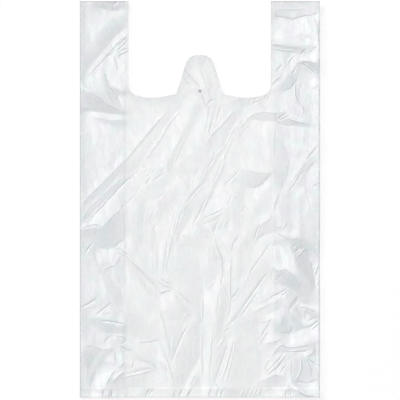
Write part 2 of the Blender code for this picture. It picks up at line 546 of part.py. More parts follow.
def seals(collection):
    """The bottom weld, the two handle-top welds and the hot-pin spot, as solids to be joined on."""
    bm = bmesh.new()
    half = SEAL_WIDTH / 2
    add_seal(bm, across(-SIDE, SIDE), (-WIDTH / 2, WIDTH / 2), SEAL_HEIGHT - half, SEAL_HEIGHT + half)
    tops = (LENGTH - HANDLE_SEAL_WIDTH, LENGTH)
    add_seal(bm, across(-SIDE, -MOUTH_EDGE), (-WIDTH / 2, BEAD - MOUTH_EDGE), *tops)
    add_seal(bm, across(MOUTH_EDGE, SIDE), (MOUTH_EDGE - BEAD, WIDTH / 2), *tops)
    low = layer_height("back", *PIN)
    high = layer_height("front", *PIN)
    bmesh.ops.create_cone(
        bm,
        cap_ends=True,
        segments=PIN_SIDES,
        radius1=PIN_RADIUS,
        radius2=PIN_RADIUS,
        depth=high - low,
        matrix=Matrix.Translation((PIN.x, PIN.y, (low + high) / 2)),
    )
    bmesh.ops.recalc_face_normals(bm, faces=bm.faces)
    mesh = bpy.data.meshes.new("seals")
    bm.to_mesh(mesh)
    bm.free()
    cutter = bpy.data.objects.new("seals", mesh)
    cutter.hide_render = True
    cutter.display_type = "WIRE"
    collection.objects.link(cutter)
    return cutter


def film_material():
    """Thin natural film with a faint blue-grey cast."""
    material = bpy.data.materials.new("carrier_bag_film")
    material.use_nodes = True
    shader = material.node_tree.nodes["Principled BSDF"]
    shader.inputs["Base Color"].default_value = (0.80, 0.83, 0.86, 1)
    shader.inputs["Roughness"].default_value = 0.3
    shader.inputs["Metallic"].default_value = 0
    return material


def main():
    for old in list(bpy.data.objects):
        bpy.data.objects.remove(old)
    bag_parts = bpy.data.collections.new("plastic_carrier_bag")
    cutters = bpy.data.collections.new("cutters")
    for collection in (bag_parts, cutters):
        bpy.context.scene.collection.children.link(collection)
    bag = film_tube(bag_parts, film_material())
    weld = bag.modifiers.new("welds", "BOOLEAN")
    weld.operation = "UNION"
    weld.solver = "EXACT"
    weld.object = seals(cutters)
    for drawn in (bag, weld.object):
        drawn.location.y = -LENGTH / 2


main()
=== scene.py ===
"""Looks of a thin plastic carrier bag of the vest shape, creased from use and lying flat.

The bag is drawn in millimetres: across from its middle, along from its bottom edge, and up from
the surface that it lies on. bag_point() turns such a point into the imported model's metres.
"""

import math

import bmesh
import bpy
import numpy as np
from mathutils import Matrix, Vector
from mathutils.geometry import delaunay_2d_cdt


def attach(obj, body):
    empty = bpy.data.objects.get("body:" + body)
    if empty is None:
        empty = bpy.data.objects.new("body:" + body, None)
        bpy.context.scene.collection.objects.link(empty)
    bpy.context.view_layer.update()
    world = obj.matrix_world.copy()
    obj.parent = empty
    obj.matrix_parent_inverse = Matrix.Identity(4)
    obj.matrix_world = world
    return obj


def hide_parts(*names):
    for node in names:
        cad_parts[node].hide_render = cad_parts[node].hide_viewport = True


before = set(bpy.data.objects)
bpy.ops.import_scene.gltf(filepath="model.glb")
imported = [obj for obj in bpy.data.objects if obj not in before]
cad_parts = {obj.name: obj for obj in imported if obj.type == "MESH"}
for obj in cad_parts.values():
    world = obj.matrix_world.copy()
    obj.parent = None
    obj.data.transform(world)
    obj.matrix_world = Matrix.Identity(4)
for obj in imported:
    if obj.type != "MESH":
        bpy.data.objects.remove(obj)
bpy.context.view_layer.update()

MM = 0.001

# The bag laid flat
LENGTH = 496
HALF_WIDTH = 150
SIDE = 149.935              # where the flat layers turn into the outer folds
INNER_FOLD = 93.5
MOUTH_EDGE = 89
GUSSET_STEP = 14            # run over which the front rises to clear a gusset
INNER_BULGE = 0.05          # how far the bend of an inner fold stands out

# The film
FILM = 0.03
AIR = 0.12                  # space between two layers
PITCH = FILM + AIR
SLACK = 3                   # most space between the front and the back
SLACK_RUN = 45              # run over which the slack opens up from a weld
WELD_MARGIN = 1             # level film on each side of the bottom weld's middle

# The die-cut mouth
MOUTH_FLOOR = 374
MOUTH_CURVE = 70            # radius of the floor
MOUTH_CORNER = 14           # radius where the floor runs into a handle
TAB_FOOT_LINE = 380
TAB_HEIGHT = 48.5
TAB_FOOT = 59
TAB_TOP = 28
TAB_FILLET = 4              # radius at the tab's foot
TAB_ROUNDING = 14
ROUNDING_SHARE = 0.48       # most of a straight side that one rounding may take
LEAST_PARTS = 4             # least number of straight parts in a rounding

# The welds
WELD_LOW = 11.4
WELD_HIGH = 12.7
HANDLE_WELD = 494.2
PIN = (0.2, 383.7)
PIN_RADIUS = 2
PIN_SIDES = 24

# How finely the film is drawn
GRID = 0.5                  # spacing of the height map
MAP_LOW = (-153, -4)
MAP_HIGH = (153, 500)
FRONT_FILL = 2.1            # spacing of the front's points away from its creases
BACK_FILL = 4.5             # spacing of the other layers' points
LINE_STEP = 2.0             # spacing of the points along a crease or an edge
ROW_SHARE = 0.866           # spacing of the rows of points, as a share of their spacing in a row
NEARLY = 1e-4               # points this close count as one
FAR = 1e9

# The creases' soft shape
BASE_HEIGHT = 1.7
BASE_SHARE = 0.22           # share of the creases' heights that the facets don't give
SOFT_LEAST = 0.7            # share of its softness that a low crease bends with
SOFT_RISE = 0.6             # how much softer each further millimetre of height makes it
SOFT_FROM = 1.5             # height from which a crease gets softer
BEND_RADII = [0.4, 0.8, 1.6, 3.2, 6.4]
BEND_SHARE = 0.6            # radius of a bend for each millimetre of softness
BELL_REACH = 3              # radii after which a smoothing bell ends

# The facets
GLOSS_TILT = 5              # tilt towards the upper left at which the film shines most, in degrees
FACET_TILT = 6              # further tilt of a facet that is as steep as is usual
FACET_SHARE = 0.7           # how steep the facets are made, beside what they ask for
SPARE = 200                 # margin of the height map while it is worked out
LEVEL_RUN = 260             # run over which the facets' heights even out

# The fold lines
CLIFF = 1.0                 # width of the steep side of a fold line
LIT_SLOPE = 0.48            # slope at which a fold line's lit side shines most
LIT_WIDEST = 1.7            # most width of a lit side
MOST_STRENGTH = 1.2         # strength above which a lit side gets no wider
FAINT = 0.45                # strength below which a fold line is only a soft crease
FAINT_SLOPE = 0.12
TAPER_RUN = 0.35            # share of a fold line's length over which an end tapers
LEAST_TAPER = 0.05
MIDDLE_SHARE = 0.7          # how strong the fold lines' marks of painted shade and painted highlight are between the gussets
HANDLE_SHARE = 1.5          # the same in the handles

# The front as a whole
LINE_SOFTNESS = 0.25        # radius that the finished fold lines bend with
EVEN_RUN = 4                # run over which the creases even out at the outer folds
WAVES = ((0.02, 7), (0.008, 3))     # heights and lengths of the film's chance waves
WAVE_SEED = 11
WING_SLOPES = (0.01, 0.028) # how the front rises to the right over the left and the right gusset
EDGE_LIFT = 1.0             # how far the film's edges stand up
EDGE_RUN = 8                # run over which they rise
LEAST_HEIGHT = 0.05
CALM = 3                    # how far the gussets smooth out what they carry of the front's shape
FOLD_RUN = 8                # run over which the gussets come to the front's shape at the outer folds
EDGE_BAND = 2.6             # width along the folds and welds over which painted shade darkens the film
MOUTH_BAND = 10             # the same along the cut mouth, where the painted shade is fainter

# The finishes
GREEN = (0.95, 0.995, 0.995)        # how a green patch changes the film's colour
LILAC = (0.99, 0.97, 1.01)          # the same for a lilac patch
PAINTED_SHADE_TONE = (0.25, 0.27, 0.29)      # colour of the painted shade that the film darkens towards at its edges and folds, and on fold lines' steep sides
BAND_FALL = 1.6             # how fast the bands of painted shade at the edges fade
SHADE_DEPTH = 0.75          # how much painted shade darkens the film's colour on a fold line's steep side
PAINTED_HIGHLIGHT_DEPTH = 0.75          # how much a painted highlight lightens it on the fold line's lit side
SURFACE_SHINE = 0.9
CRINKLE_HEIGHT = 0.1
CRINKLES = ((5, 0.3, 0.1, 0.5), (3.5, 0.5, -0.6, 0.3), (11, 0.5, -0.9, 1.0))    # size, stretch, turn, depth
GREEN_PATCHES = (25, 1, (0.50, 0.56))       # size, seed and levels of the patches
LILAC_PATCHES = (19, 3, (0.54, 0.59))
PASSES = (0.95, 0.955, 0.96)        # light that the film lets on to the floor straight through
PASSES_SLANTING = (0.4, 0.4, 0.4)   # the same for light along the film
SLANT_FROM, SLANT_TO = 0.45, 0.8

# The floor and the camera, in metres
FLOOR_REACH = 6
FLOOR_DROP = 0.00005
FLOOR_TONE = (0.705, 0.695, 0.69)
FLOOR_GLOW = 0.388          # what makes the lit floor white to the camera
CAMERA_HEIGHT = 14
CAMERA_SHIFT = (0.31 * MM, -0.65 * MM)
PICTURE_WIDTH = 400 * 1.2514 * MM   # width that the picture shows
SENSOR = 36
CLIP_END = 60

# Creases as softness, then points: a point is across, along and up, and softness is the radius
# that the film bends with there.
CREASES = (
    # left handle
    (2, -150, 493, 1.5, -134, 493, 3.4, -125, 487, 2, -110, 482, 1.2, -89, 484, 1),
    (7, -89, 476, 3, -97, 476.5, 3.2, -107, 479, 3.6, -113, 473, 4.2, -130, 461, 4.8, -150, 446, 4.2),
    (1, -89, 462, 1.2, -98, 457, 0.8, -112, 443, 0.5, -128, 424, 0.4, -143, 405, 0.5, -150, 397, 0.8),
    (1, -89, 455, 1.8, -100, 450, 2.6, -109, 441, 3.1, -119, 429, 3.5, -131, 416, 3.2, -145, 398, 1.6),
    (1, -99, 447.5, 1.6, -107.5, 438.5, 1.6, -117, 427, 1.8, -129.5, 414, 1.9, -142, 398, 1.3),
    (0.6, -104.5, 436, 1.3, -98, 443, 1.2, -91, 450.5, 1),
    (0.6, -103.5, 434, 2.4, -97, 441, 2.5, -89, 449, 2.6),
    (0.6, -101.5, 432.5, 1.4, -89, 443, 1.1),
    (0.6, -101, 430.5, 2.3, -89, 438, 2.7),
    (0.6, -100, 428.5, 1.4, -89, 433, 1.3),
    (1, -105, 427, 2.6, -102, 417, 2.5, -101, 408, 2),
    (1, -122, 418, 2.6, -124, 404, 2.8, -119, 390, 2.8, -112, 378, 2.6, -104, 366, 2),
    (1, -116, 410, 1.4, -117, 398, 1, -112.5, 386, 0.8, -106, 375, 0.8, -99, 363, 1),
    (1, -111.5, 389.5, 2.6, -100, 385.5, 2.6, -89, 382.5, 1.6),
    (1, -110, 386.5, 1.2, -99, 376, 0.9, -89, 378, 1),
    (3, -150, 390, 4.2, -143, 387, 4.4, -130, 377, 4.2, -118, 368.5, 4, -110, 366, 3.6, -97, 358, 2),
    (1, -150, 357, 0.4, -128, 357, 0.4, -110, 354.5, 0.5, -95, 354, 0.8, -78, 359, 1.6),
    (3, -150, 353, 1.8, -135, 351, 2.4, -122, 348, 3, -108, 346, 3, -92, 347, 2.4, -78, 350, 2),
    (4, -118, 342, 1.6, -111, 338, 1.2, -99, 336, 1, -93, 340, 1.4),
    # right handle
    (2, 89, 484.5, 3, 97, 486, 3.2, 121, 485.5, 3.2, 129, 487, 3, 136, 484, 2.6, 150, 482, 1.4),
    (1, 89, 477.5, 1.4, 110, 475, 1, 117, 472.5, 0.8, 127, 476.5, 1, 141, 477.5, 1.2),
    (1, 143, 475, 2.6, 146.5, 464, 3, 147.5, 452, 2.8),
    (1, 131, 469, 2.4, 131.5, 456, 3, 138, 448, 2.6),
    (1, 125, 454, 1.8, 133, 450, 1.6),
    (1, 89, 442.5, 3.2, 104, 441.5, 3.6, 125, 440, 3.6, 146, 439.5, 2.6),
    (2, 89, 434.5, 1.2, 105, 433, 0.8, 120, 431.5, 0.6, 127, 431, 0.8),
    (1, 144, 438, 2, 136, 431, 2.8, 128, 426, 3, 122, 423, 2.6),
    (1, 123, 420, 2.4, 133, 420.5, 3.9, 150, 417.5, 4.8),
    (1, 125, 418, 1.8, 131, 415.5, 1.4, 140, 409.5, 0.8, 150, 402, 0.3),
    (1, 132, 413, 2, 140, 407, 2.1, 150, 399, 1.8),
    (1, 113, 427, 1.2, 109, 417, 0.9, 101, 400, 0.8, 90, 390, 1),
    (3, 118, 421, 3, 118, 411, 3.4, 112, 402, 3.2, 101, 395, 2.5, 93, 386, 1.8),
    (1, 126, 413, 1, 124, 404, 0.8, 120, 395, 0.7, 115, 388, 0.7, 108, 384, 0.8, 97, 382, 1.2),
    (3, 120, 386, 2, 121, 378, 2.6, 126, 369, 3.1, 130, 361, 3.4, 128, 354.5, 3, 120, 351, 2.4),
    (2, 129, 381, 1.8, 136, 371, 1.2, 141, 358, 0.8, 143, 347, 1),
    # tab
    (1, -22, 411, 2.4, -10, 400, 2.8, -3, 391, 1.8),
    (1, -22, 400, 1.2, -13, 393.5, 1.2, -7, 388, 1.2),
    (1, -7, 426, 2, 0, 410, 2.4, 5, 396, 2.2, 7, 389, 1.6),
    (2, 10, 425, 1.2, 13, 404, 1, 17, 388, 1.1),
    (1, 4, 378, 1.3, 9, 364, 2.4, 11, 345, 2.8, 8, 325, 2.4),
    (3, -4, 368, 2.6, -17, 341, 3, -28, 318, 3.2, -35, 303, 3.4, -38, 298, 3),
    (1, 1, 355, 1.4, -11, 336, 1.3, -20, 320, 1.1, -26, 305, 1.1, -32, 296, 1.2, -37, 283, 0.9),
    # upper left
    (1, -30, 371, 1.6, -57, 343, 2.8, -70, 325, 3.4, -90, 301, 4, -110, 279.5, 4.2, -130, 259, 4, -150, 239,
     2.8),
    (1, -97, 281, 1.6, -120, 257, 1.5, -150, 229, 1.3),
    (1, -98, 275, 2.6, -121, 251, 2.7, -150, 222, 2),
    (1, -23, 366, 1.2, -33, 350, 1.1, -48, 325, 1, -60, 308, 0.9, -74, 290, 0.6, -90, 273, 0.4),
    (1, -90, 273, 0.4, -105, 259.5, 0.3, -120, 244.5, 0.3, -135, 229, 0.3, -150, 214.5, 0.4),
    (1, -73, 287, 1.8, -89, 271, 2, -104, 257.5, 2.1, -119, 242.5, 2.1, -134, 227, 1.9, -146, 215.5, 1.2),
    (1, -69, 266, 1, -62, 276, 1.6, -55, 287, 2),
    (1, -60, 269, 1.1, -50, 277, 1.2, -43, 281.5, 1.3),
    (1, -70, 262, 1.6, -82, 250, 1.4, -95, 240, 1.4),
    (1, -97, 237.5, 3, -108, 227, 3.6, -120, 216, 3.9, -125, 212.5, 3.6, -130, 216, 3.8, -150, 211.5, 1.6),
    (1, -150, 206, 0.9, -140, 201, 0.5, -131, 194.5, 0.4, -124, 187.5, 0.4, -113, 186, 0.4, -94, 199, 0.8),
    (1, -110, 184, 1.2, -98, 182.5, 1.8, -86, 171, 3.2, -70, 157, 3.5, -57, 142, 3.3, -48, 132, 2.6),
    (1, -89, 169.5, 1.2, -73, 154.5, 1.1, -60, 140, 1, -50, 129.5, 1.2),
    (4, -79, 242, 2.4, -80, 215, 2.6, -84, 190, 2.3),
    (3, -69, 245, 1, -71, 215, 0.9, -73, 190, 1.1),
    (2, -51, 220.5, 1.8, -58, 212, 2.4, -62, 200, 2.4, -61, 180, 2),
    # middle
    (1, 38, 350, 1.6, 28, 330, 2.2, 19, 305, 2.8, 10, 287, 3.2, 0, 268, 3.4, -12, 253, 3.3, -20, 240, 3),
    (1, -20, 240, 3, -28, 220, 2.7, -36, 200, 2.5, -41, 180, 2.3, -44, 158, 2),
    (1, 23, 300, 1.2, 13, 281.5, 1, 3, 263, 0.9, -9, 248, 0.9, -17, 235, 1, -25, 216, 1, -33, 198, 1),
    (1, 52, 350, 1.8, 43, 335, 2.5, 35, 312, 2.8, 27, 291, 3, 20, 273, 3.1, 11, 254, 2.9, 0, 233, 2.8, -8,
     215, 2.4),
    (1, 30.5, 289, 1.2, 23, 270, 1, 14, 251, 1, 4, 231, 1.2),
    (1, 13, 226, 2.3, 24, 231, 2.8, 32, 239, 2.8),
    (1, 4, 216.5, 1, 15, 221.5, 1.2, 24, 227, 1.4),
    (1, 15, 210, 1.6, 22, 192, 2, 29, 177, 2.6, 29.5, 160, 2.8, 28, 140, 2.8, 27, 120, 2.6, 23, 103, 2.6),
    (2, 23, 103, 2.6, 19, 80, 2.4, 17, 55, 2.4, 14, 28, 2, 13, 17, 1.4),
    (2, 2, 128, 1, 3, 95, 0.9, 3, 62, 0.9, 0, 45, 1, -9, 29, 1, -17, 18, 1.1),
    (2, 39, 178, 1.4, 38.5, 160, 1.1, 38, 140, 1, 38, 120, 1, 34, 105, 1.1, 30, 93, 1.4),
    (2, -52, 195, 2, -52, 165, 2.4, -49, 145, 2),
    (2, -35, 180, 1.2, -37, 160, 1.1, -39, 143, 1.2),
    # upper right
    (2, 55, 345, 1.8, 62, 353, 2.6, 72, 357, 3, 80, 358, 3.2, 92, 356.5, 3.2, 103, 356.5, 2.8),
    (1, 58, 341, 1.4, 70, 348.5, 1.2, 82, 346.5, 1.1, 95, 345.5, 0.8, 110, 342, 0.7, 119, 339.5, 0.8, 143,
     337, 1.4),
    (1, 100, 350, 2.2, 107, 350.5, 3.8, 125, 346.5, 4.1, 139, 343, 3, 150, 342, 2),
    (1, 31, 267, 2.1, 40, 276.5, 2.6, 50, 286, 2.9, 56, 285.5, 3.3, 68, 281.5, 3.7, 86, 281, 3.5, 92, 284,
     3),
    (2, 56, 270, 1.2, 62, 264.5, 0.8, 69, 262.5, 0.7, 76, 265.5, 0.8, 84, 271.5, 1, 92, 279, 1.5),
    (5, 85, 342, 2.2, 85, 320, 2.9, 88, 300, 3.3, 94, 280, 3.4, 98, 265, 2.6),
    (1, 112, 335, 1.4, 111, 318, 0.9, 112, 300, 0.6, 110, 284, 0.6, 106, 268, 0.8, 102, 259, 1.2),
    (2, 150, 317.5, 2.2, 140, 304, 3.2, 130, 288.5, 3.5, 120, 273.5, 3.3, 111, 260, 2.6),
    (1, 150, 303, 0.6, 141, 290, 0.6, 132, 279, 0.8, 126, 267, 1, 121, 254, 1.4),
    (1, 100, 254, 2, 95.5, 243, 2.8, 91, 230, 3.4, 86, 222, 3.6, 77, 217.5, 3.6, 73, 207, 3.2, 68, 192, 2.8),
    (1, 68, 192, 2.8, 60, 172, 2.4, 53, 152, 2),
    (1, 74, 197.5, 1, 83, 203.5, 0.9, 95, 206, 0.8, 106, 205, 0.9, 114, 205, 1.2),
    (2, 107, 233, 2.2, 109, 221, 2.4, 106, 212, 2),
    (2, 114, 250, 1.2, 115, 228, 1.1, 118, 212, 1.2),
    (2, 123, 250, 2.9, 124, 230, 3, 123, 210, 2.8),
    (1, 133, 265, 1, 137, 248, 0.8, 142, 226, 0.6, 150, 198, 0.8),
    # lower right
    (2, 105, 200.5, 2.4, 118, 199, 3.4, 126, 194, 3.9, 132, 186, 4.2, 139, 168, 4.2, 142, 155, 3.4, 145,
     142, 1.6),
    (1, 98, 196, 1.2, 108, 183, 0.7, 120, 166, 0.4, 133, 149, 0.4, 143, 138, 0.8),
    (1, 93, 197, 2.2, 84, 186, 2.8, 75, 172, 3, 65, 158, 2.8, 56, 145, 2.4, 47, 131, 1.8),
    (1, 92, 163, 2.2, 98, 157.5, 2.6, 108, 158.5, 3.3, 117, 151, 3.6, 127, 136, 3.4, 134, 121, 2.6, 137,
     109, 1.6),
    (1, 95, 143, 0.8, 104, 139, 0.7, 113, 137.5, 0.7, 118, 128, 0.7, 124, 122, 0.8, 128, 113, 0.8),
    (1, 88, 160, 2.4, 80, 151, 3, 70, 139, 3.2, 60, 127, 3.2, 50, 112, 3.2, 41, 98, 2.8, 34, 86, 2),
    (1, 90, 156, 1.2, 82, 147.5, 1.1, 72, 135.5, 1.1, 62, 123.5, 1.1, 52, 108.5, 1.1, 43, 94.5, 1.2),
    (1, 72, 109, 1.8, 81, 114.5, 2.6, 92, 121, 3, 103, 128.5, 3, 110, 134, 2.2),
    (1, 72, 104.5, 1.1, 84, 105, 0.9, 95, 107, 0.8, 102, 112, 0.9),
    (1, 111, 106.5, 2.4, 115.5, 115, 3.1, 119, 122, 2.4),
    (1, 105, 111, 2.6, 110, 100, 2.6, 115, 84, 2.2),
    (1, 101, 84, 0.8, 108, 79.5, 0.7, 116, 80, 0.9, 128, 86, 0.8, 139, 88, 1, 150, 92, 1),
    (1, 118, 113, 2.8, 123, 106, 2.8, 129, 93, 2),
    (1, 150, 103, 0.6, 142, 105, 0.6, 133, 108.5, 1),
    (1, 91, 98, 2.7, 84, 88, 2.6, 79, 77, 2.4, 75, 66, 2),
    (2, 72, 92, 1.2, 68, 82, 1, 56, 74, 1.1),
    (1, 102, 65, 2.8, 115, 62.5, 3.3, 130, 65.5, 3.3, 142, 69, 2.6, 150, 72, 1.8),
    (1, 97, 57, 1.4, 112, 56.5, 1, 127, 56.5, 1, 140, 58, 1.1),
    (2, 100, 63, 2.8, 95, 59, 3, 89, 50, 2.8, 84, 40, 2.4, 79, 29, 1.8),
    (1, 113, 53, 2.4, 106, 48.5, 3.2, 98, 39, 3.5, 90, 31.5, 3.3, 82, 25, 2.2),
    (1, 115, 50.5, 1.2, 108, 46, 0.9, 100, 36.5, 0.8, 92, 29, 0.8, 84, 23, 1.1),
    (1, 119, 48, 2.8, 115.5, 33, 2.9, 113, 18, 2),
    (1, 110, 44, 1.2, 109.5, 30, 0.9, 109, 18, 1),
    (1, 127, 52, 2.6, 128, 40, 3.3, 124.5, 29, 3.1, 120, 23, 2.2),
    (1, 121, 19, 0.9, 136, 17, 0.7, 150, 23, 1),
    (1, 131, 51, 3, 140, 43, 2.8, 150, 36, 1.8),
    (1, 45, 78, 2.4, 41, 60, 2.9, 35, 40, 3, 29, 20, 2.2),
    (1, 35, 76, 1.2, 30, 55, 1, 23, 32, 0.9, 18, 18, 1),
    # lower left
    (2, -46, 128, 2, -45, 103, 2.8, -41, 84, 2.9, -38, 66, 2.8, -37, 50, 2.2),
    (1, -66, 95, 1.4, -57, 80, 1.3, -50, 70, 1.1, -45, 54, 0.9, -41, 42, 0.9, -35, 22, 1),
    (1, -10, 99, 2.2, -18, 82, 2.8, -25, 67, 3.1, -31, 52, 2.8, -34.5, 41, 1.9),
    (1, -21, 84, 1.3, -28, 68, 1.2, -33, 54, 1.2),
    (1, -42, 144, 1.9, -33, 130, 2.4, -22, 115, 2.6, -12, 103, 2.4, -2, 97, 2),
    (4, -137, 183, 2, -130, 170, 2.8, -124, 158, 3.3, -118, 140, 3.3, -112, 125, 3, -106, 115, 2.4),
    (2, -113, 158, 1.3, -105, 143, 0.9, -98, 126, 0.7, -95, 111, 0.8),
    (1, -150, 112, 1.6, -138, 119, 2.9, -128, 125.5, 2.4),
    (1, -147, 109, 1.2, -136, 111, 1.2, -125, 113, 1.2),
    (1, -110, 118, 2.4, -120, 110.5, 2.9, -130, 102.5, 2.6, -118, 98, 3, -108, 94.5, 3, -94, 91, 2.6, -83,
     91, 2),
    (1, -150, 104, 0.7, -140, 95, 0.5, -130, 86, 0.5, -120, 79, 0.6, -108, 78, 0.6, -94, 79, 0.7, -80, 77,
     0.9, -56, 73, 1.5),
    (1, -119, 68, 2, -111, 73, 2.3, -98, 73, 2.4, -93, 69, 2.2),
    (2, -100, 65, 1.8, -90, 58.5, 2.4, -82, 56, 2.5, -70, 48, 2.3, -57, 41, 1.6),
    (2, -150, 65, 2.6, -138, 64, 3.2, -124, 61, 3.3, -130, 48, 2.4, -135, 30, 1.8),
    (2, -145, 48, 0.6, -142, 30, 0.5, -140, 18, 0.6),
    (2, -95, 44, 1.8, -104, 36, 2.7, -112, 26, 2.8, -117, 18, 1.6),
    (1, -109, 19, 1.6, -100, 27, 2.7, -88, 32, 3.1, -72, 35, 3, -57, 37, 2),
    (1, -98, 23, 0.8, -86, 27.5, 0.9, -70, 30, 1, -55, 33, 1.2),
    # skirt
    (0.6, -109, 7, 2, -110, 0, 2.2),
    (0.6, -60, 7, 2, -66, 0, 2.2),
    (0.6, -63, 7, 1, -69, 0, 0.9),
    (0.6, -23, 7, 1.8, -26, 0, 2),
    (0.6, -10, 7, 1.8, -15, 0, 2),
    (0.6, 14, 7, 1.8, 11, 0, 2),
    (0.6, 25, 7, 1.8, 22, 0, 2),
    (0.6, 109, 7, 2, 107, 0, 2.2),
    (0.6, 124, 7, 1.8, 133, 0, 0.8),
)

# Where no crease ends, the bag's corners and edges are held at these heights
REST_POINTS = (
    (-152, -2, 1), (-100, -2, 1.2), (-40, -2, 1.2), (50, -2, 1.2), (90, -2, 1.2), (152, -2, 1),
    (-152, 498, 1.4), (-132, 498, 3.6), (-112, 498, 3.6), (-100, 498, 2.4), (-60, 498, 1.6),
    (60, 498, 1.6), (100, 498, 1.8), (125, 498, 1.8), (152, 498, 1), (0, 450, 1.4),
    (-152, 300, 1.4), (-152, 160, 1.4), (-152, 30, 1.2), (152, 370, 1.2), (152, 240, 1), (152, 150, 1),
    (-55, 380, 1.4), (55, 375, 1.4), (70, 372, 2), (40, 362, 2.2),
)
REST_SOFTNESS = 6

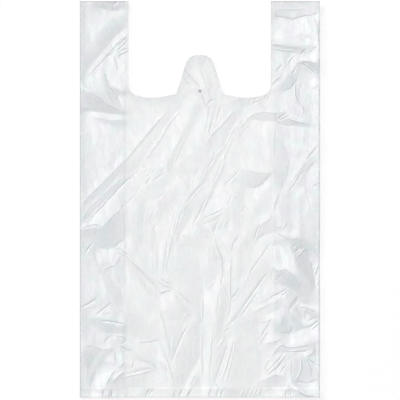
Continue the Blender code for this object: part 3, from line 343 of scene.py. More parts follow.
# Flat facets between creases as tilt, fade, then corners, each across and along. A tilt above
# nothing falls away from the upper left, one below nothing faces it, and 1 is the steepest that is
# usual. A fade above nothing makes a facet steeper towards its lower side, and one below nothing
# towards its upper side. Where facets overlap, their slopes add up.
FACETS = (
    # left handle
    (0.8, 0.3, -132, 496, -130, 490, -124, 487.5, -118, 485.5, -113, 489, -111, 496),
    (0.6, 0.2, -118, 485.5, -110, 482.3, -101, 484.5, -98, 490, -100, 496, -109, 490, -113, 489),
    (0.75, 0.7, -111, 474, -106, 479, -94.5, 475.5, -95, 462, -101, 456, -109, 447, -118, 433, -128, 420,
     -138, 408, -147, 393, -149, 430, -138, 443, -125, 458),
    (-0.8, 0, -94, 462, -90.5, 458, -99, 449.5, -108, 438.5, -117, 428, -128, 416, -141, 402, -146, 392, -138,
     408, -128, 420.5, -118, 434, -109, 447.5, -101, 456.5),
    (0.9, 0, -118, 425, -109, 431.5, -107.5, 434, -112, 433, -116.5, 428.5),
    (0.1, 0, -123, 413, -122.5, 400, -118.5, 388, -111, 375, -103, 366, -97, 360, -99, 368, -102, 377, -108,
     385, -114, 392, -117, 401, -119, 413),
    (1.2, 0, -111.5, 389.5, -104, 387, -97, 384.5, -94, 384, -94, 378.5, -99, 376.5, -104, 381.5),
    (0.5, 0, -94, 384, -86, 383, -80, 380, -94, 378.7),
    (1.5, 0.2, -149, 388, -143, 386, -133, 380, -123, 374, -118, 368, -110, 365, -104, 361, -94, 357.5, -94,
     354, -105, 355, -120, 356.5, -135, 357.8, -149, 357),
    (0.5, 0, -94, 357.5, -82, 358, -94, 354),
    (-0.15, -0.5, -143, 402, -125, 414, -122, 400, -119, 389, -113, 378, -118, 370, -130, 379, -146, 389),
    (0.9, -0.6, -137, 351.5, -122, 348.5, -110, 346.3, -94, 347, -94, 340, -108, 338.5, -116, 342, -126, 347),
    (0.4, 0.1, -113, 338, -94, 340, -94, 320, -97, 308, -106, 294, -130, 272, -149, 253, -149, 298, -132, 314,
     -118, 328),
    (-0.5, 0.6, -97, 300, -82, 318, -66, 338, -50, 356, -46, 354, -60, 337.5, -70, 325.5, -80, 313.5, -93,
     298),
    # tab
    (1.0, 0, -21, 413, -15, 407, -8, 398, 2, 387.5, -2, 386, -9, 390, -20, 400, -22.5, 404),
    (0.1, 0, -19, 417, -10, 425, -5, 425, -1, 408, -3, 402, -9, 402),
    (0.7, 0, -3, 428, 8, 428, 7, 420, 2.5, 412, -1, 419),
    (0.6, 0, 5, 412, 9, 419, 13, 424, 19, 418, 23, 404, 26, 388, 21, 382, 11, 388, 8, 400),
    (0.3, 0, -20, 380, -8, 385, -3, 386, -10, 379),
    # below the tab
    (-0.1, 0.3, -95, 295, -80, 312, -60, 337, -44, 355, -32, 369, -18, 370, -33, 349, -41, 338, -50, 322, -60,
     308, -72, 292),
    (-0.4, 0.3, -33, 348, -18, 370, -7, 370, -14, 346, -27, 322, -36, 306, -46, 300, -50, 320, -40, 339),
    (0.0, 0, -6, 368, -14, 346, -27, 322, -36, 305, -40, 300, -31, 299, -25, 308, -18, 324, -8, 344, 1, 364),
    (-0.4, 0, 1, 362, 9, 362, 6, 340, 6, 322, -6, 322, -18, 324, -8, 344),
    (0.1, 0, -6, 305, 0, 318, 8, 318, 10, 308, 12, 298, 6, 290, -4, 294),
    (0.4, 0, 9, 345, 13, 362, 16, 370, 12, 364, 9, 356),
    (0.7, 0, 41, 359, 45, 357, 47, 349, 40, 338, 36, 340, 33, 348),
    (0.5, 0, 36, 341, 31, 334, 27, 322, 26, 312, 31, 316, 38, 330),
    (0.5, 0, 12, 332, 18, 334, 22, 330, 18, 318, 11, 305, 8, 318),
    (0.7, 0, 41, 371, 50, 374, 50, 366, 45, 364, 41, 367),
    # right handle
    (-0.8, 0, 90, 485, 97, 486.3, 121, 485.8, 129, 487, 135, 484.3, 143, 484.5, 149, 482, 142, 478, 130,
     477.3, 122, 475.3, 117, 472.8, 108, 475, 90, 477.5),
    (0.95, 0, 143, 496, 149.5, 496, 149.5, 483.5, 141, 484.8, 146, 488, 146, 493),
    (0.15, 0, 90, 496, 143, 496, 145, 492, 136, 487, 129, 489, 97, 488, 90, 487),
    (-0.85, -0.3, 90, 476, 108, 473.5, 117, 471, 129, 475, 129, 460, 120, 452, 90, 449),
    (-0.2, 0.4, 112, 450, 129, 458, 131, 470, 133, 459, 138, 450, 146, 445, 146, 441, 112, 442),
    (0.35, 0, 126, 451, 131, 460, 137, 450),
    (0.5, 0, 90, 442.5, 104, 441.5, 125, 440.5, 146, 439.8, 140, 435.5, 133, 431, 127, 430, 120, 432, 105,
     433, 90, 436.5),
    (-0.1, 0, 90, 436, 110, 432, 113, 428, 110, 420, 100, 409, 95, 403, 90, 404),
    (1.85, 0, 122, 419.3, 130, 421, 140, 420, 149.5, 417.5, 149.5, 403, 143, 409, 136, 415, 130, 418.3),
    (-0.95, 0, 112, 416, 114.5, 426, 119, 428.5, 127, 425, 121.5, 419, 118, 409, 113, 411),
    (0.3, 0, 119.5, 419, 127.5, 418, 127, 410, 123, 399, 119, 393, 114, 387, 105, 384, 93, 388, 92, 391, 101,
     397, 107, 402, 114, 404, 118.5, 407),
    (0.1, 0, 129, 418, 149, 402, 149, 391, 141, 385.5, 131, 384, 125, 392, 124.5, 403),
    (0.4, 0.3, 109, 380, 118, 384, 119, 374, 124, 366, 127.5, 360, 126.5, 353, 120, 351, 112, 353, 109, 362,
     110, 371),
    (0.45, 0.3, 130, 383, 135, 378, 139, 370, 142, 358, 143, 350, 143, 344, 132, 347, 122, 349.5, 130, 352,
     132.5, 362, 133, 370),
    (0.1, 0, 92, 384, 105, 382, 109, 376, 109, 362, 103, 358, 92, 358.5),
    (0.7, 0, 52, 337, 60, 350, 68, 355, 80, 357.5, 92, 356, 103, 356, 109, 360, 105, 354, 98, 349, 94, 346.5,
     82, 346.5, 70, 349.3, 62, 346),
    (0.5, 0, 96, 345.5, 106, 350.5, 121, 346, 138, 342, 128, 339.8, 119, 340.5, 110, 342.5),
    (0.05, 0.1, 84, 344, 95, 343, 101, 338, 103, 328, 106, 315, 110, 303, 112, 292, 93, 292, 86, 300, 84,
     320),
    (-0.55, 0, 104, 338, 118, 339, 130, 337, 128, 316, 120, 300, 113, 300, 107, 316),
    (0.75, 0, 131, 339, 137, 337, 134.5, 325, 130.5, 315, 128, 316, 129, 326, 132, 333),
    (0.9, 0, 142, 337, 148.5, 337, 149.3, 319, 142.5, 324),
    (0.1, 0, 134, 298, 141, 307, 149.5, 318, 149.5, 296),
    (0.6, 0, 50, 374, 57, 374, 58, 367, 52, 362, 50, 363),
    # left side above the middle
    (0.5, 0, -149, 243, -138, 252, -120, 270, -110, 280, -99, 291, -96, 289, -106, 277, -118, 266, -136, 249,
     -149, 237),
    (0.7, 0, -149, 230, -135, 242, -118, 258, -103, 274, -97, 283, -95, 279, -101, 269, -112, 258, -128, 242,
     -149, 222),
    (0.3, 0, -149, 221, -128, 240, -112, 256, -100, 268, -101, 265, -111, 253.5, -125, 238, -149, 216),
    (0.2, 0, -94, 283, -78, 300, -66, 300, -75, 287, -92, 272, -99, 265, -96, 272),
    (0.4, 0, -126, 230, -110, 248, -98, 260, -95, 250, -96, 241, -100, 236, -112, 225, -122, 214.5, -126,
     217),
    (-0.1, 0, -149, 212, -128, 229, -127, 217, -135, 214.7),
    (0.8, 0, -149, 211, -135, 214.5, -130, 215.3, -126, 212, -124, 212, -118, 217, -110, 226, -98, 237, -96.5,
     228, -95, 213, -94, 199.5, -101, 194, -110, 186, -121, 186, -128, 190, -131, 196, -138, 200, -149, 206),
    (0.55, 0, -77, 250, -70, 251, -68, 235, -67, 215, -66, 192, -77, 192, -78, 220),
    (0.5, 0, -64, 237, -61, 230, -62, 214, -63, 200, -66, 200, -67, 216),
    (0.55, 0, -70, 249, -60, 254, -50, 259, -48, 257, -50, 252, -58, 246, -67, 245),
    (0.5, 0, -59, 228, -50, 238, -46, 232, -49, 224, -57, 223),
    # middle
    (0.9, 0, -42, 299, -34, 299, -35, 290, -38, 282, -41, 290),
    (0.5, 0, -50, 252, -48, 257, -30, 259, -28, 250, -31, 240, -35, 232, -48, 229, -54, 238),
    (0.7, -0.3, -29, 273, -24, 277.5, -15, 277, -10, 272, -12, 263, -15, 257, -18, 268, -24, 274, -28, 270),
    (0.4, 0, -30, 290, -20, 296, -10, 291, -5, 286, -9, 279, -24, 280, -29, 281),
    (0.4, 0, -18, 304, -5, 304, -3, 291, -12, 294, -20, 299),
    (1.15, 0, -19, 240, -8, 243, -6, 236, -14, 222, -19, 213, -24, 205, -27, 194, -31, 194, -27, 212, -22,
     226),
    (0.5, 0.2, -10, 254, 0, 265, 6, 263, 8, 252, 4, 242, -1, 231, -8, 226, -6, 240),
    (0.45, 0, 8, 262, 12, 272, 15, 286, 20, 299, 27, 300, 22, 285, 17, 270, 10, 256),
    (-0.1, 0, 19, 262, 22, 274, 30, 292, 34, 302, 46, 302, 49, 288, 36, 272, 28, 266),
    (-0.2, 0, 6, 233, 12, 245, 19, 259, 28, 265, 40, 272, 44, 262, 38, 246, 31, 239.5, 24, 234, 9, 228),
    (0.55, 0, 0, 216, 4, 212, 10, 207, 14, 200, 17, 192, -4, 192, -4, 206),
    (0.8, 0, 15, 221, 20, 222.5, 25.5, 228, 21, 215, 17, 204, 15, 212),
    (0.55, 0, 32, 236, 35, 240, 40, 230, 36, 216, 30, 211, 31, 225),
    (0.6, 0, 44, 248, 50, 262, 56, 262, 55, 225, 50, 203, 45, 207, 42, 225),
    (0.5, 0, -20, 206, -10, 204, -5, 196, -5, 190, -25, 190),
    # right side above the middle
    (0.9, 0.2, 55, 284.5, 62, 284, 70, 281.7, 80, 281.2, 93, 281.5, 86, 275, 80, 269, 74, 264.7, 68, 262.7,
     60, 264, 56, 268, 55, 276),
    (0.05, 0, 93.5, 300, 112, 300, 111.5, 290, 109, 280, 107, 270, 104, 262, 100, 258, 97, 268, 94, 280, 93.5,
     292),
    (0.5, 0, 78, 258, 90, 263, 91, 240, 84, 232, 70, 228, 64, 236, 70, 248),
    (0.9, 0, 76, 218, 83, 220, 89, 225, 91, 219, 94, 212, 95, 206, 86, 205, 78, 203, 74, 206, 74, 213),
    (0.2, 0, 91, 233, 97, 236, 104, 248, 110, 253, 113, 250, 113, 238, 110, 226, 107, 215, 103, 210, 97, 214,
     92, 219),
    (0.35, 0, 108, 226, 112, 234, 115, 225, 117, 212, 119, 202, 108, 205, 106, 212),
    (-0.55, 0, 112, 258, 122, 263, 125, 250, 124, 225, 122, 202, 118, 203, 116, 225, 113, 245),
    (-0.1, 0, 111, 264, 120, 279, 130, 291, 134, 297, 137, 293, 132, 284, 126, 279, 118, 266, 112, 258),
    (0.2, 0, 132, 283, 136, 291, 141, 297, 149, 302, 149, 292, 142, 290, 137, 285, 133, 279),
    (0.15, 0, 128, 278, 132, 281, 133, 262, 136, 248, 139, 235, 138, 215, 137, 196, 127, 196, 125, 215, 125,
     245, 126, 262),
    (-0.85, 0, 136, 282, 146, 291, 149, 280, 148, 267, 140, 264.5, 134, 268),
    (0.75, 0.3, 140, 262, 149, 262, 149, 196, 143, 205, 141, 225, 139.5, 240),
    (0.1, 0, 58, 226, 64, 226, 66, 205, 66, 192, 54, 192, 54, 215),
    # left side under the middle
    (0.45, 0, -142, 180, -133, 193, -130, 185, -130, 170, -126, 158, -120, 146, -122, 132, -130, 130, -142,
     146),
    (1.0, 0, -135, 183, -131, 181, -128, 170, -124, 160, -122, 156.5, -125.5, 158, -129, 166, -132.5, 176),
    (-0.3, 0, -128, 187, -122, 183.5, -111, 184, -104, 176, -107, 168, -118, 170, -126, 168),
    (0.6, 0, -126, 167, -118, 169, -110, 168, -114, 164, -122, 161),
    (0.9, 0, -109, 184.5, -100, 183, -93, 179, -96, 177, -102, 179),
    (0.9, 0, -124, 157, -118, 157, -112, 152, -106, 145, -100, 138, -96, 130, -94, 120, -94, 107, -100, 110,
     -105, 118, -110, 127, -118, 135, -121, 145),
    (0.5, 0, -107, 164, -100, 178, -94, 178, -94, 140, -99, 135, -104, 148, -106, 158),
    (0.55, 0, -90, 158, -83, 165, -72, 150, -65, 140, -68, 134, -76, 138, -84, 146),
    (0.5, 0, -93, 124, -85, 122, -77, 112, -76, 103, -88, 104, -93, 110),
    (-0.5, 0, -88, 174, -83, 177, -75, 171, -66, 166, -62, 161, -70, 158, -80, 166),
    (0.55, 0, -81, 192, -80, 178, -72, 171, -64, 166, -62, 180, -63, 192),
    (-0.1, 0, -108, 187.5, -94, 198, -91, 185, -97, 187),
    (0.4, 0, -148, 110, -140, 113, -130, 113, -116, 114, -122, 108.5, -130, 102, -140, 100, -147, 106),
    # middle, under the middle of the bag
    (0.6, 0, -40, 152, -30, 162, -28, 200, -8, 200, -5, 190, -2, 175, 0, 160, 2, 153, 4, 148, 4, 134, 2, 118,
     -4, 117, -10, 120, -20, 130, -28, 138, -38, 142),
    (-0.5, 0, -40, 140, -32, 137.5, -20, 127, -10, 118, -4, 110, 0, 101, -8, 100.5, -14, 105, -20, 115, -27,
     124, -33, 133),
    (-0.7, 0, -50, 128, -45, 131, -34, 133, -32.5, 122, -32, 118, -40, 120, -48, 120),
    (0.65, 0, -33, 132, -30, 128, -24, 120, -19, 111, -12, 103, -22, 102, -26, 112, -31, 118),
    (0.35, 0, -47, 110, -24, 112, -23, 103, -26, 97, -40, 96, -46, 103),
    (-0.9, 0, 4, 133, 10, 135, 15, 140, 22, 149, 25, 151, 25, 138, 23, 120, 20, 105, 19, 94, 3, 94, 3, 120),
    (-0.5, 0, 1, 168, 8, 169, 9, 182, 8, 200, 12, 200, 10, 188, 9.5, 168, 3, 158),
    (0.5, 0, 10, 150, 15, 150, 15, 172, 14, 190, 10, 189),
    (0.5, 0, 11, 144, 18, 148, 24, 155, 24, 162, 22, 170, 16, 182, 15, 165),
    (-0.7, 0, 31, 176, 37.5, 176, 37, 160, 36.5, 148, 33, 140, 30, 150, 29.5, 165),
    (0.65, 0, 26, 138, 30, 132, 34, 121, 37, 113, 35, 107, 32, 99, 30, 94, 22, 94, 23, 110, 25, 125),
    (0.5, 0, 46, 190, 52, 190, 52, 150, 46, 152),
    # right side under the middle
    (0.8, 0, 98, 194, 104, 200.5, 122, 199.5, 130, 190, 124, 185, 119, 180, 113, 178, 106, 184),
    (1.6, 0, 121, 176, 126, 180.5, 132, 187, 135, 182, 138, 174, 140, 165, 141, 155, 144.5, 148, 145, 139,
     141, 138.5, 135, 146, 128, 155, 121, 163, 117, 170),
    (0.55, 0, 103, 187, 113, 178, 117, 170, 124, 160, 131, 152, 139, 141, 136, 141.5, 127, 151, 118, 162, 111,
     172),
    (-0.1, 0, 101, 190, 105, 183, 112, 172, 119, 162, 127, 152, 137, 141, 143, 136, 149, 127, 149, 115, 143,
     117, 136, 119, 134, 128, 127, 137.5, 120, 149, 113, 158, 107, 162, 100, 161, 102, 175),
    (1.05, 0, 92, 163, 94, 163, 98, 158, 107, 160.5, 113, 156, 120, 147, 127, 137, 133, 128, 134.5, 119, 128,
     118, 124, 120, 124, 128, 118, 135, 112, 140, 97, 141, 94, 143, 95, 150, 93, 157),
    (0.65, 0, 112, 139, 118, 134, 123, 128, 122, 121, 118, 118, 112, 125, 106, 125, 110, 135),
    (-0.5, 0, 83, 141, 85, 150, 90, 158, 92, 150, 92, 141, 90, 137),
    (0.3, 0, 70, 127, 80, 127, 86, 137, 95, 140, 108, 138, 100, 132, 92, 128, 85, 123, 75, 120),
    (-0.9, 0, 86, 121, 92, 125.5, 100, 129, 104, 129.5, 98, 123, 90, 119),
    (0.3, 0, 83, 114, 92, 118, 100, 122, 105, 122, 107, 112, 107, 104, 105, 94, 95, 94, 92, 103, 85, 106),
    (1.05, 0, 103, 102, 107, 105, 110, 103, 112, 94, 102, 94),
    (1.05, 0, 114, 105, 119, 113, 121, 109, 126, 103, 129, 94, 121, 94, 116, 99),
    (-0.55, 0, 108, 113, 111, 107, 114, 103, 121, 94, 113, 94, 110, 103),
    (1.25, 0, 125, 110, 132, 110.5, 137, 108, 144, 106, 149, 102, 149, 99, 143, 99.5, 138, 103, 130, 108),
    (-0.55, 0, 121, 117, 128, 118, 136, 118, 149, 113, 149, 104, 143, 107, 137, 110, 131, 112, 124, 111),
    (-0.35, 0, 66, 178, 68, 193, 72, 196, 80, 203, 90, 206, 90, 197, 82, 184, 74, 173, 67, 164),
    (0.3, 0, 62, 148, 68, 162, 80, 178, 90, 190, 90, 168, 80, 155, 72, 143, 64, 140),
    # lower left
    (0.7, 0, -141, 100, -130, 100.5, -120, 98, -108, 95.5, -94, 91, -94, 80, -106, 80.5, -117, 81.5, -122, 83,
     -130, 90, -137, 96),
    (0.05, 0.5, -94, 90, -84, 92, -80, 91, -74, 85, -66, 79, -62, 74, -76, 74, -90, 78, -94, 80),
    (-0.2, 0, -148, 98, -137, 95, -130, 89, -122, 82, -117, 79.5, -119, 74, -121, 68, -124, 65, -148, 66),
    (1.3, 0, -145, 63, -138, 64.5, -130, 63, -124, 61, -121, 59, -126, 56, -131, 50, -134, 44, -136, 38, -141,
     40, -143, 48, -146, 57),
    (0.7, 0, -141, 40, -136, 38, -131, 38, -128, 37, -130, 30, -133, 22, -136, 13, -141, 14, -140, 30),
    (0.7, 0, -131, 50, -126, 56, -120, 58, -118, 54, -124, 47, -127, 39, -132, 39, -133, 44),
    (1.2, 0, -120, 58, -112, 62, -109, 63, -107, 58, -112, 54, -118, 49, -124, 39, -128, 38, -125, 46),
    (0.2, 0, -107, 59, -106, 50, -107, 40, -109, 35, -112, 32, -116, 38, -124, 38, -120, 47, -112, 54),
    (-1.0, 0, -124, 37, -116, 37.5, -112, 32, -114, 25, -118, 17, -121, 2, -137, 2, -131, 24),
    (-0.4, 0, -118, 70, -110, 77, -105, 76, -99, 66, -101, 62, -96, 58, -96, 46, -100, 40, -105, 37, -107, 50,
     -107, 59, -110, 65),
    (1.0, 0, -106, 76.5, -98, 75, -94, 71.5, -97, 67, -101, 70),
    (-0.8, 0, -93.5, 76, -93, 68, -84, 64, -79, 65, -75, 69, -62, 71, -70, 73),
    (0.4, 0, -98, 65.5, -94, 62.5, -85, 58.5, -80, 61, -84, 63, -93, 67),
    (0.6, 0, -80, 60, -75, 56, -70, 48.5, -60, 43, -68, 46, -80, 50),
    (-0.9, 0, -79, 63, -75, 68, -62, 69, -50, 70, -48, 50, -59, 45, -69, 50, -75, 57),
    (-0.8, 0, -82, 48, -70, 45, -59, 41, -56, 38.5, -60, 37.5, -82, 38),
    (0.55, 0, -99, 39, -94, 45, -87, 43, -83, 40, -84, 36, -92, 34, -97, 35),
    (0.7, 0, -84, 37, -75, 38, -58, 37, -66, 34.5, -78, 32, -88, 29, -92, 31),
    (0.5, 0, -117, 13, -114, 20, -108, 30, -103, 34, -96, 33, -92, 28, -98, 24, -94, 22, -94, 12, -110, 12),
    (0.9, 0.2, -94, 22, -86, 26, -74, 27, -70, 26, -68, 12, -94, 12),
    (0.2, 0, -119, 2, -119, 11, -111, 11, -111, 2),
    (0.1, 0, -108, 2, -108, 11, -76, 11, -75, 2),
    (0.8, 0, -75, 2, -75, 12, -62, 12, -69, 2),
    (0.3, 0, -148, 2, -148, 14, -144, 10, -138, 2),
    # lower middle
    (-0.6, 0, -50, 100, -46, 100, -44, 88, -40, 72, -38, 58, -38, 45, -41, 52, -46, 66, -50, 77),
    (-1.1, 0, -52, 70, -50, 69, -46, 58, -41, 45, -45, 42, -50, 47, -55, 45),
    (-1.4, 0, -57, 34, -52, 44, -46, 39, -40, 32, -36, 18, -34, 2, -57, 2, -56, 20),
    (0.3, 0, -44, 98, -31, 98, -31, 80, -36, 66, -39, 76),
    (0.6, 0, -30, 98, -20, 98, -20, 82, -24, 72, -28, 62, -30, 72, -30, 85),
    (0.6, 0.2, -10, 96, -2, 96, 0, 80, 0, 55, -2, 47, -8, 38, -12, 30, -20, 15, -30, 15, -30, 50, -25, 65,
     -19, 79, -13, 91),
    (-0.8, 0, 0, 52, 1.5, 40, -2, 36, -8, 28, -11, 14, -20, 13, -14, 24, -9, 33, -4, 42),
    (0.6, 0, -10, 14, -5, 26, 0, 28, 0.5, 14),
    (-0.8, 0, 3, 101, 18, 101, 16, 75, 14, 50, 12, 30, 12, 2, 1, 2, 2.5, 40),
    (0.6, 0, 20, 98, 30, 98, 28, 82, 24, 76, 20, 62, 18, 72),
    (0.3, 0, 24, 75, 30, 81, 36, 80, 34, 70, 31, 62, 26, 67),
    (0.1, 0, 14, 58, 20, 58, 28, 68, 30, 58, 26, 46, 20, 36, 16, 26, 14, 40),
    (-1.1, 0, 33, 63, 38, 74, 42, 77, 41, 68, 37, 56, 32.5, 42, 27.5, 28, 23, 13, 19, 13, 22, 28, 27, 42),
    (0.5, 0, 36, 14, 40, 30, 44, 50, 46, 72, 50, 78, 62, 82, 72, 88, 76, 75, 77, 60, 80, 50, 80, 34, 76, 24,
     60, 14),
    (0.6, 0, 37, 2, 37, 13, 50, 14, 66, 14, 64, 2),
    (0.4, 0, 66, 2, 68, 14, 80, 14, 80, 2),
    # lower right
    (0.4, 0, 44, 93, 52, 101, 62, 102, 76, 97, 70, 89, 60, 81, 48, 80),
    (-0.9, 0, 72, 91, 80, 93, 90, 98.5, 85, 90, 79.5, 80, 75, 74, 74, 80),
    (-0.9, 0, 76, 62, 76, 72, 80, 78.5, 86, 89, 91, 96, 92, 83, 98, 77, 100, 72, 90, 70, 82, 68),
    (0.5, 0, 82, 67.5, 98, 71, 94, 65, 89, 60, 84, 60, 79, 62),
    (-0.85, 0, 90, 60, 96, 66, 101, 70, 100, 65, 95, 57, 90, 53),
    (0.25, 0, 94, 55, 98, 62, 102, 65.5, 110, 62.5, 114, 60, 104, 58, 98, 55),
    (0.5, 0, 101, 101, 112, 101, 114, 92, 116, 86, 112, 80.5, 104, 80.5, 97, 84, 101, 92),
    (-0.2, 0, 91, 100, 101, 100, 100, 88, 92, 87),
    (-0.3, 0, 90, 83, 95, 83, 104, 80, 110, 79.5, 110, 65, 103, 67, 99, 74),
    (-1.35, 0, 110, 79.5, 120, 82, 130, 86.5, 138, 86, 140, 80, 136, 71, 128, 66.5, 118, 64.5, 110, 64.5),
    (0.15, 0, 140, 81, 147, 76, 142, 68, 138, 66, 130, 66, 135, 71, 138, 78),
    (-0.9, 0, 103, 64.5, 112, 62, 122, 62.5, 141, 65.5, 140, 57, 124, 55, 112, 56),
    (-0.7, 0, 81, 33, 82, 42, 86, 50, 92, 54, 103, 55, 98, 47, 90, 38, 82, 30),
    (-0.95, 0, 84, 25, 92, 31, 99, 36, 105, 45, 109, 51, 113, 52, 108, 42, 103, 37, 99, 31, 92, 28.5),
    (0.75, 0, 93, 27, 109, 28, 110, 14, 92, 13),
    (0.35, 0, 101, 30, 104, 36, 108, 40, 112, 48, 113, 40, 112, 28, 104, 27),
    (0.8, 0, 80, 22, 93, 26, 92, 14, 82, 16),
    (0.5, 0, 115, 23, 116, 48, 120, 53, 125, 51, 126, 42, 123, 30, 118.5, 23),
    (0.1, 0, 121, 20, 126, 26, 128.5, 34, 129, 48, 133, 49, 137, 36, 140, 22, 134, 17.5, 128, 19),
    (-0.2, 0, 139, 23, 139, 32, 136, 45, 142, 42.5, 149, 37, 149, 25),
    (0.5, 0, 132, 51, 140, 56, 143, 62, 144, 66, 145, 55, 147, 43, 149, 38.5, 142, 43.5, 135, 49),
    (-1.4, 0, 118, 19, 126, 18, 134, 16.5, 140, 18.7, 149, 22, 149, 3, 140, 3, 132, 5, 124, 10.5, 119, 13),
    (0.65, 0, 117, 2, 117, 10, 121, 10.5, 127, 6, 134, 2),
    (-0.7, 0, 85, 2, 84, 11, 92, 9, 106, 9, 105, 2),
    (0.45, 0, 144, 64, 147, 76, 149, 84, 149, 72, 146, 60),
    # soft shades that lie across several facets
    (0.45, 0, -66, 295, -50, 320, -36, 335, -32, 328, -42, 308, -52, 296, -60, 288),
    (0.5, 0, -70, 262, -50, 276, -32, 285, -28, 276, -45, 262, -62, 254),
    (0.35, 0, -16, 262, -14, 278, -4, 286, 0, 276, -6, 264),
    (0.3, 0, -66, 236, -62, 245, -50, 245, -50, 237),
    (0.4, 0, -90, 240, -88, 249, -78, 250, -78, 241),
    (0.8, 0, -62, 222, -55, 215, -55, 156, -60, 155, -62, 190),
    (0.5, 0, -38, 198, -32, 196, -30, 164, -36, 160),
    (0.3, 0, -90, 196, -78, 195, -77, 182, -88, 180),
    (1.0, 0, -75, 150, -62, 142, -45, 122, -50, 114, -62, 126, -76, 144),
    (0.3, 0, -80, 118, -62, 122, -60, 100, -76, 95),
    (0.8, 0, 15, 135, 24, 134, 25, 107, 16, 104),
    (0.4, 0, 33, 96, 44, 116, 58, 152, 64, 148, 52, 118, 40, 94),
    (0.6, 0, 47, 150, 50, 190, 60, 204, 62, 196, 56, 168, 54, 150),
    (0.8, 0, 74, 190, 80, 202, 96, 204, 98, 192, 84, 188),
    (0.35, 0, 62, 226, 72, 240, 84, 252, 92, 246, 86, 226, 70, 214),
    (0.3, 0, 50, 362, 62, 374, 88, 380, 90, 362, 72, 356, 56, 354),
    (0.8, 0, 80, 50, 90, 48, 92, 8, 84, 6),
    (0.4, 0, -120, 44, -106, 46, -104, 32, -118, 30),
    (0.5, 0, -136, 16, -125, 14, -124, 5, -136, 6),
    (0.3, 0, 98, 16, 118, 16, 120, 9, 100, 8),
    (0.7, 0, 104, 425, 112, 428, 120, 405, 110, 398),
    (1.5, 0, 128, 413, 140, 411, 149.5, 404, 149.5, 397, 138, 406),
    (0.9, -0.6, -149.5, 494, -142, 494, -143, 440, -144, 405, -149.5, 398),
    (0.5, -0.5, -149.5, 350, -143, 350, -143, 292, -149.5, 286),
    (0.5, -0.5, -149.5, 200, -144, 200, -144, 112, -149.5, 112),
    (-0.5, 0, -97, 250, -86, 246, -84, 205, -96, 204),
    (-0.4, 0, 134, 472, 148, 474, 149, 446, 140, 444),
    (-0.7, 0, 90, 440, 100, 440, 104, 400, 98, 380, 90, 380),
    (-0.6, 0, 132, 398, 149, 400, 149, 358, 138, 352, 130, 372),
    (-0.8, 0, 129, 250, 137, 250, 139, 170, 130, 165),
    (-0.8, 0, 122, 268, 130, 284, 142, 304, 149, 314, 149, 304, 138, 288, 128, 272),
    (-0.8, 0, -149, 22, -138, 24, -137, 3, -149, 3),
    (-0.5, 0, -68, 38, -57, 36, -56, 12, -66, 12),
    (-1.0, 0, -106, 112, -94, 116, -90, 98, -100, 94),
    (-0.4, 0, -112, 262, -96, 276, -90, 272, -104, 256),
    (0.3, 0, -56, 240, -40, 236, -36, 200, -50, 196),
    (0.4, 0, 14, 212, 24, 210, 30, 190, 20, 188),
    (1.2, 0, 108, 184, 118, 190, 128, 182, 120, 170, 112, 172),
    (1.5, 0, -149.5, 397, -141, 392, -141, 383, -149.5, 386),
    (-0.5, 0, 117, 160, 125, 168, 131, 161, 123, 153),
    (-0.4, 0, 123, 153, 131, 161, 136, 153, 128, 145),
    (-0.5, 0, 128, 145, 136, 153, 141, 144, 133, 136),
    (-0.3, 0, 133, 136, 141, 144, 146, 134, 138, 126),
    (-0.5, 0, 90, 495, 104, 495, 104, 486, 90, 486),
    (-0.35, 0, 55, 335, 84, 338, 88, 290, 58, 288),
    (1.2, 0, 120, 182, 132, 184, 137, 172, 128, 164, 121, 168),
    (0.5, 0, 60, 196, 68, 196, 66, 166, 58, 160),
    (0.5, 0, 141, 162, 149, 164, 149, 146, 143, 148),
    (-0.8, 0, 113, 26, 126, 28, 128, 14, 114, 14),
    (-0.5, 0, 130, 48, 144, 50, 145, 32, 133, 30),
    (0.5, -0.5, -149.5, 300, -143, 300, -143, 232, -149.5, 228),
    (1.3, 0, 114, 187, 122, 184, 131, 187, 138, 172, 143, 150, 144, 140, 141, 141, 128, 158, 118, 172),
    (0.6, 0, -149, 385, -140, 388, -128, 374, -134, 366, -149, 370),
    (0.5, 0, -149, 480, -138, 480, -136, 440, -149, 440),
)

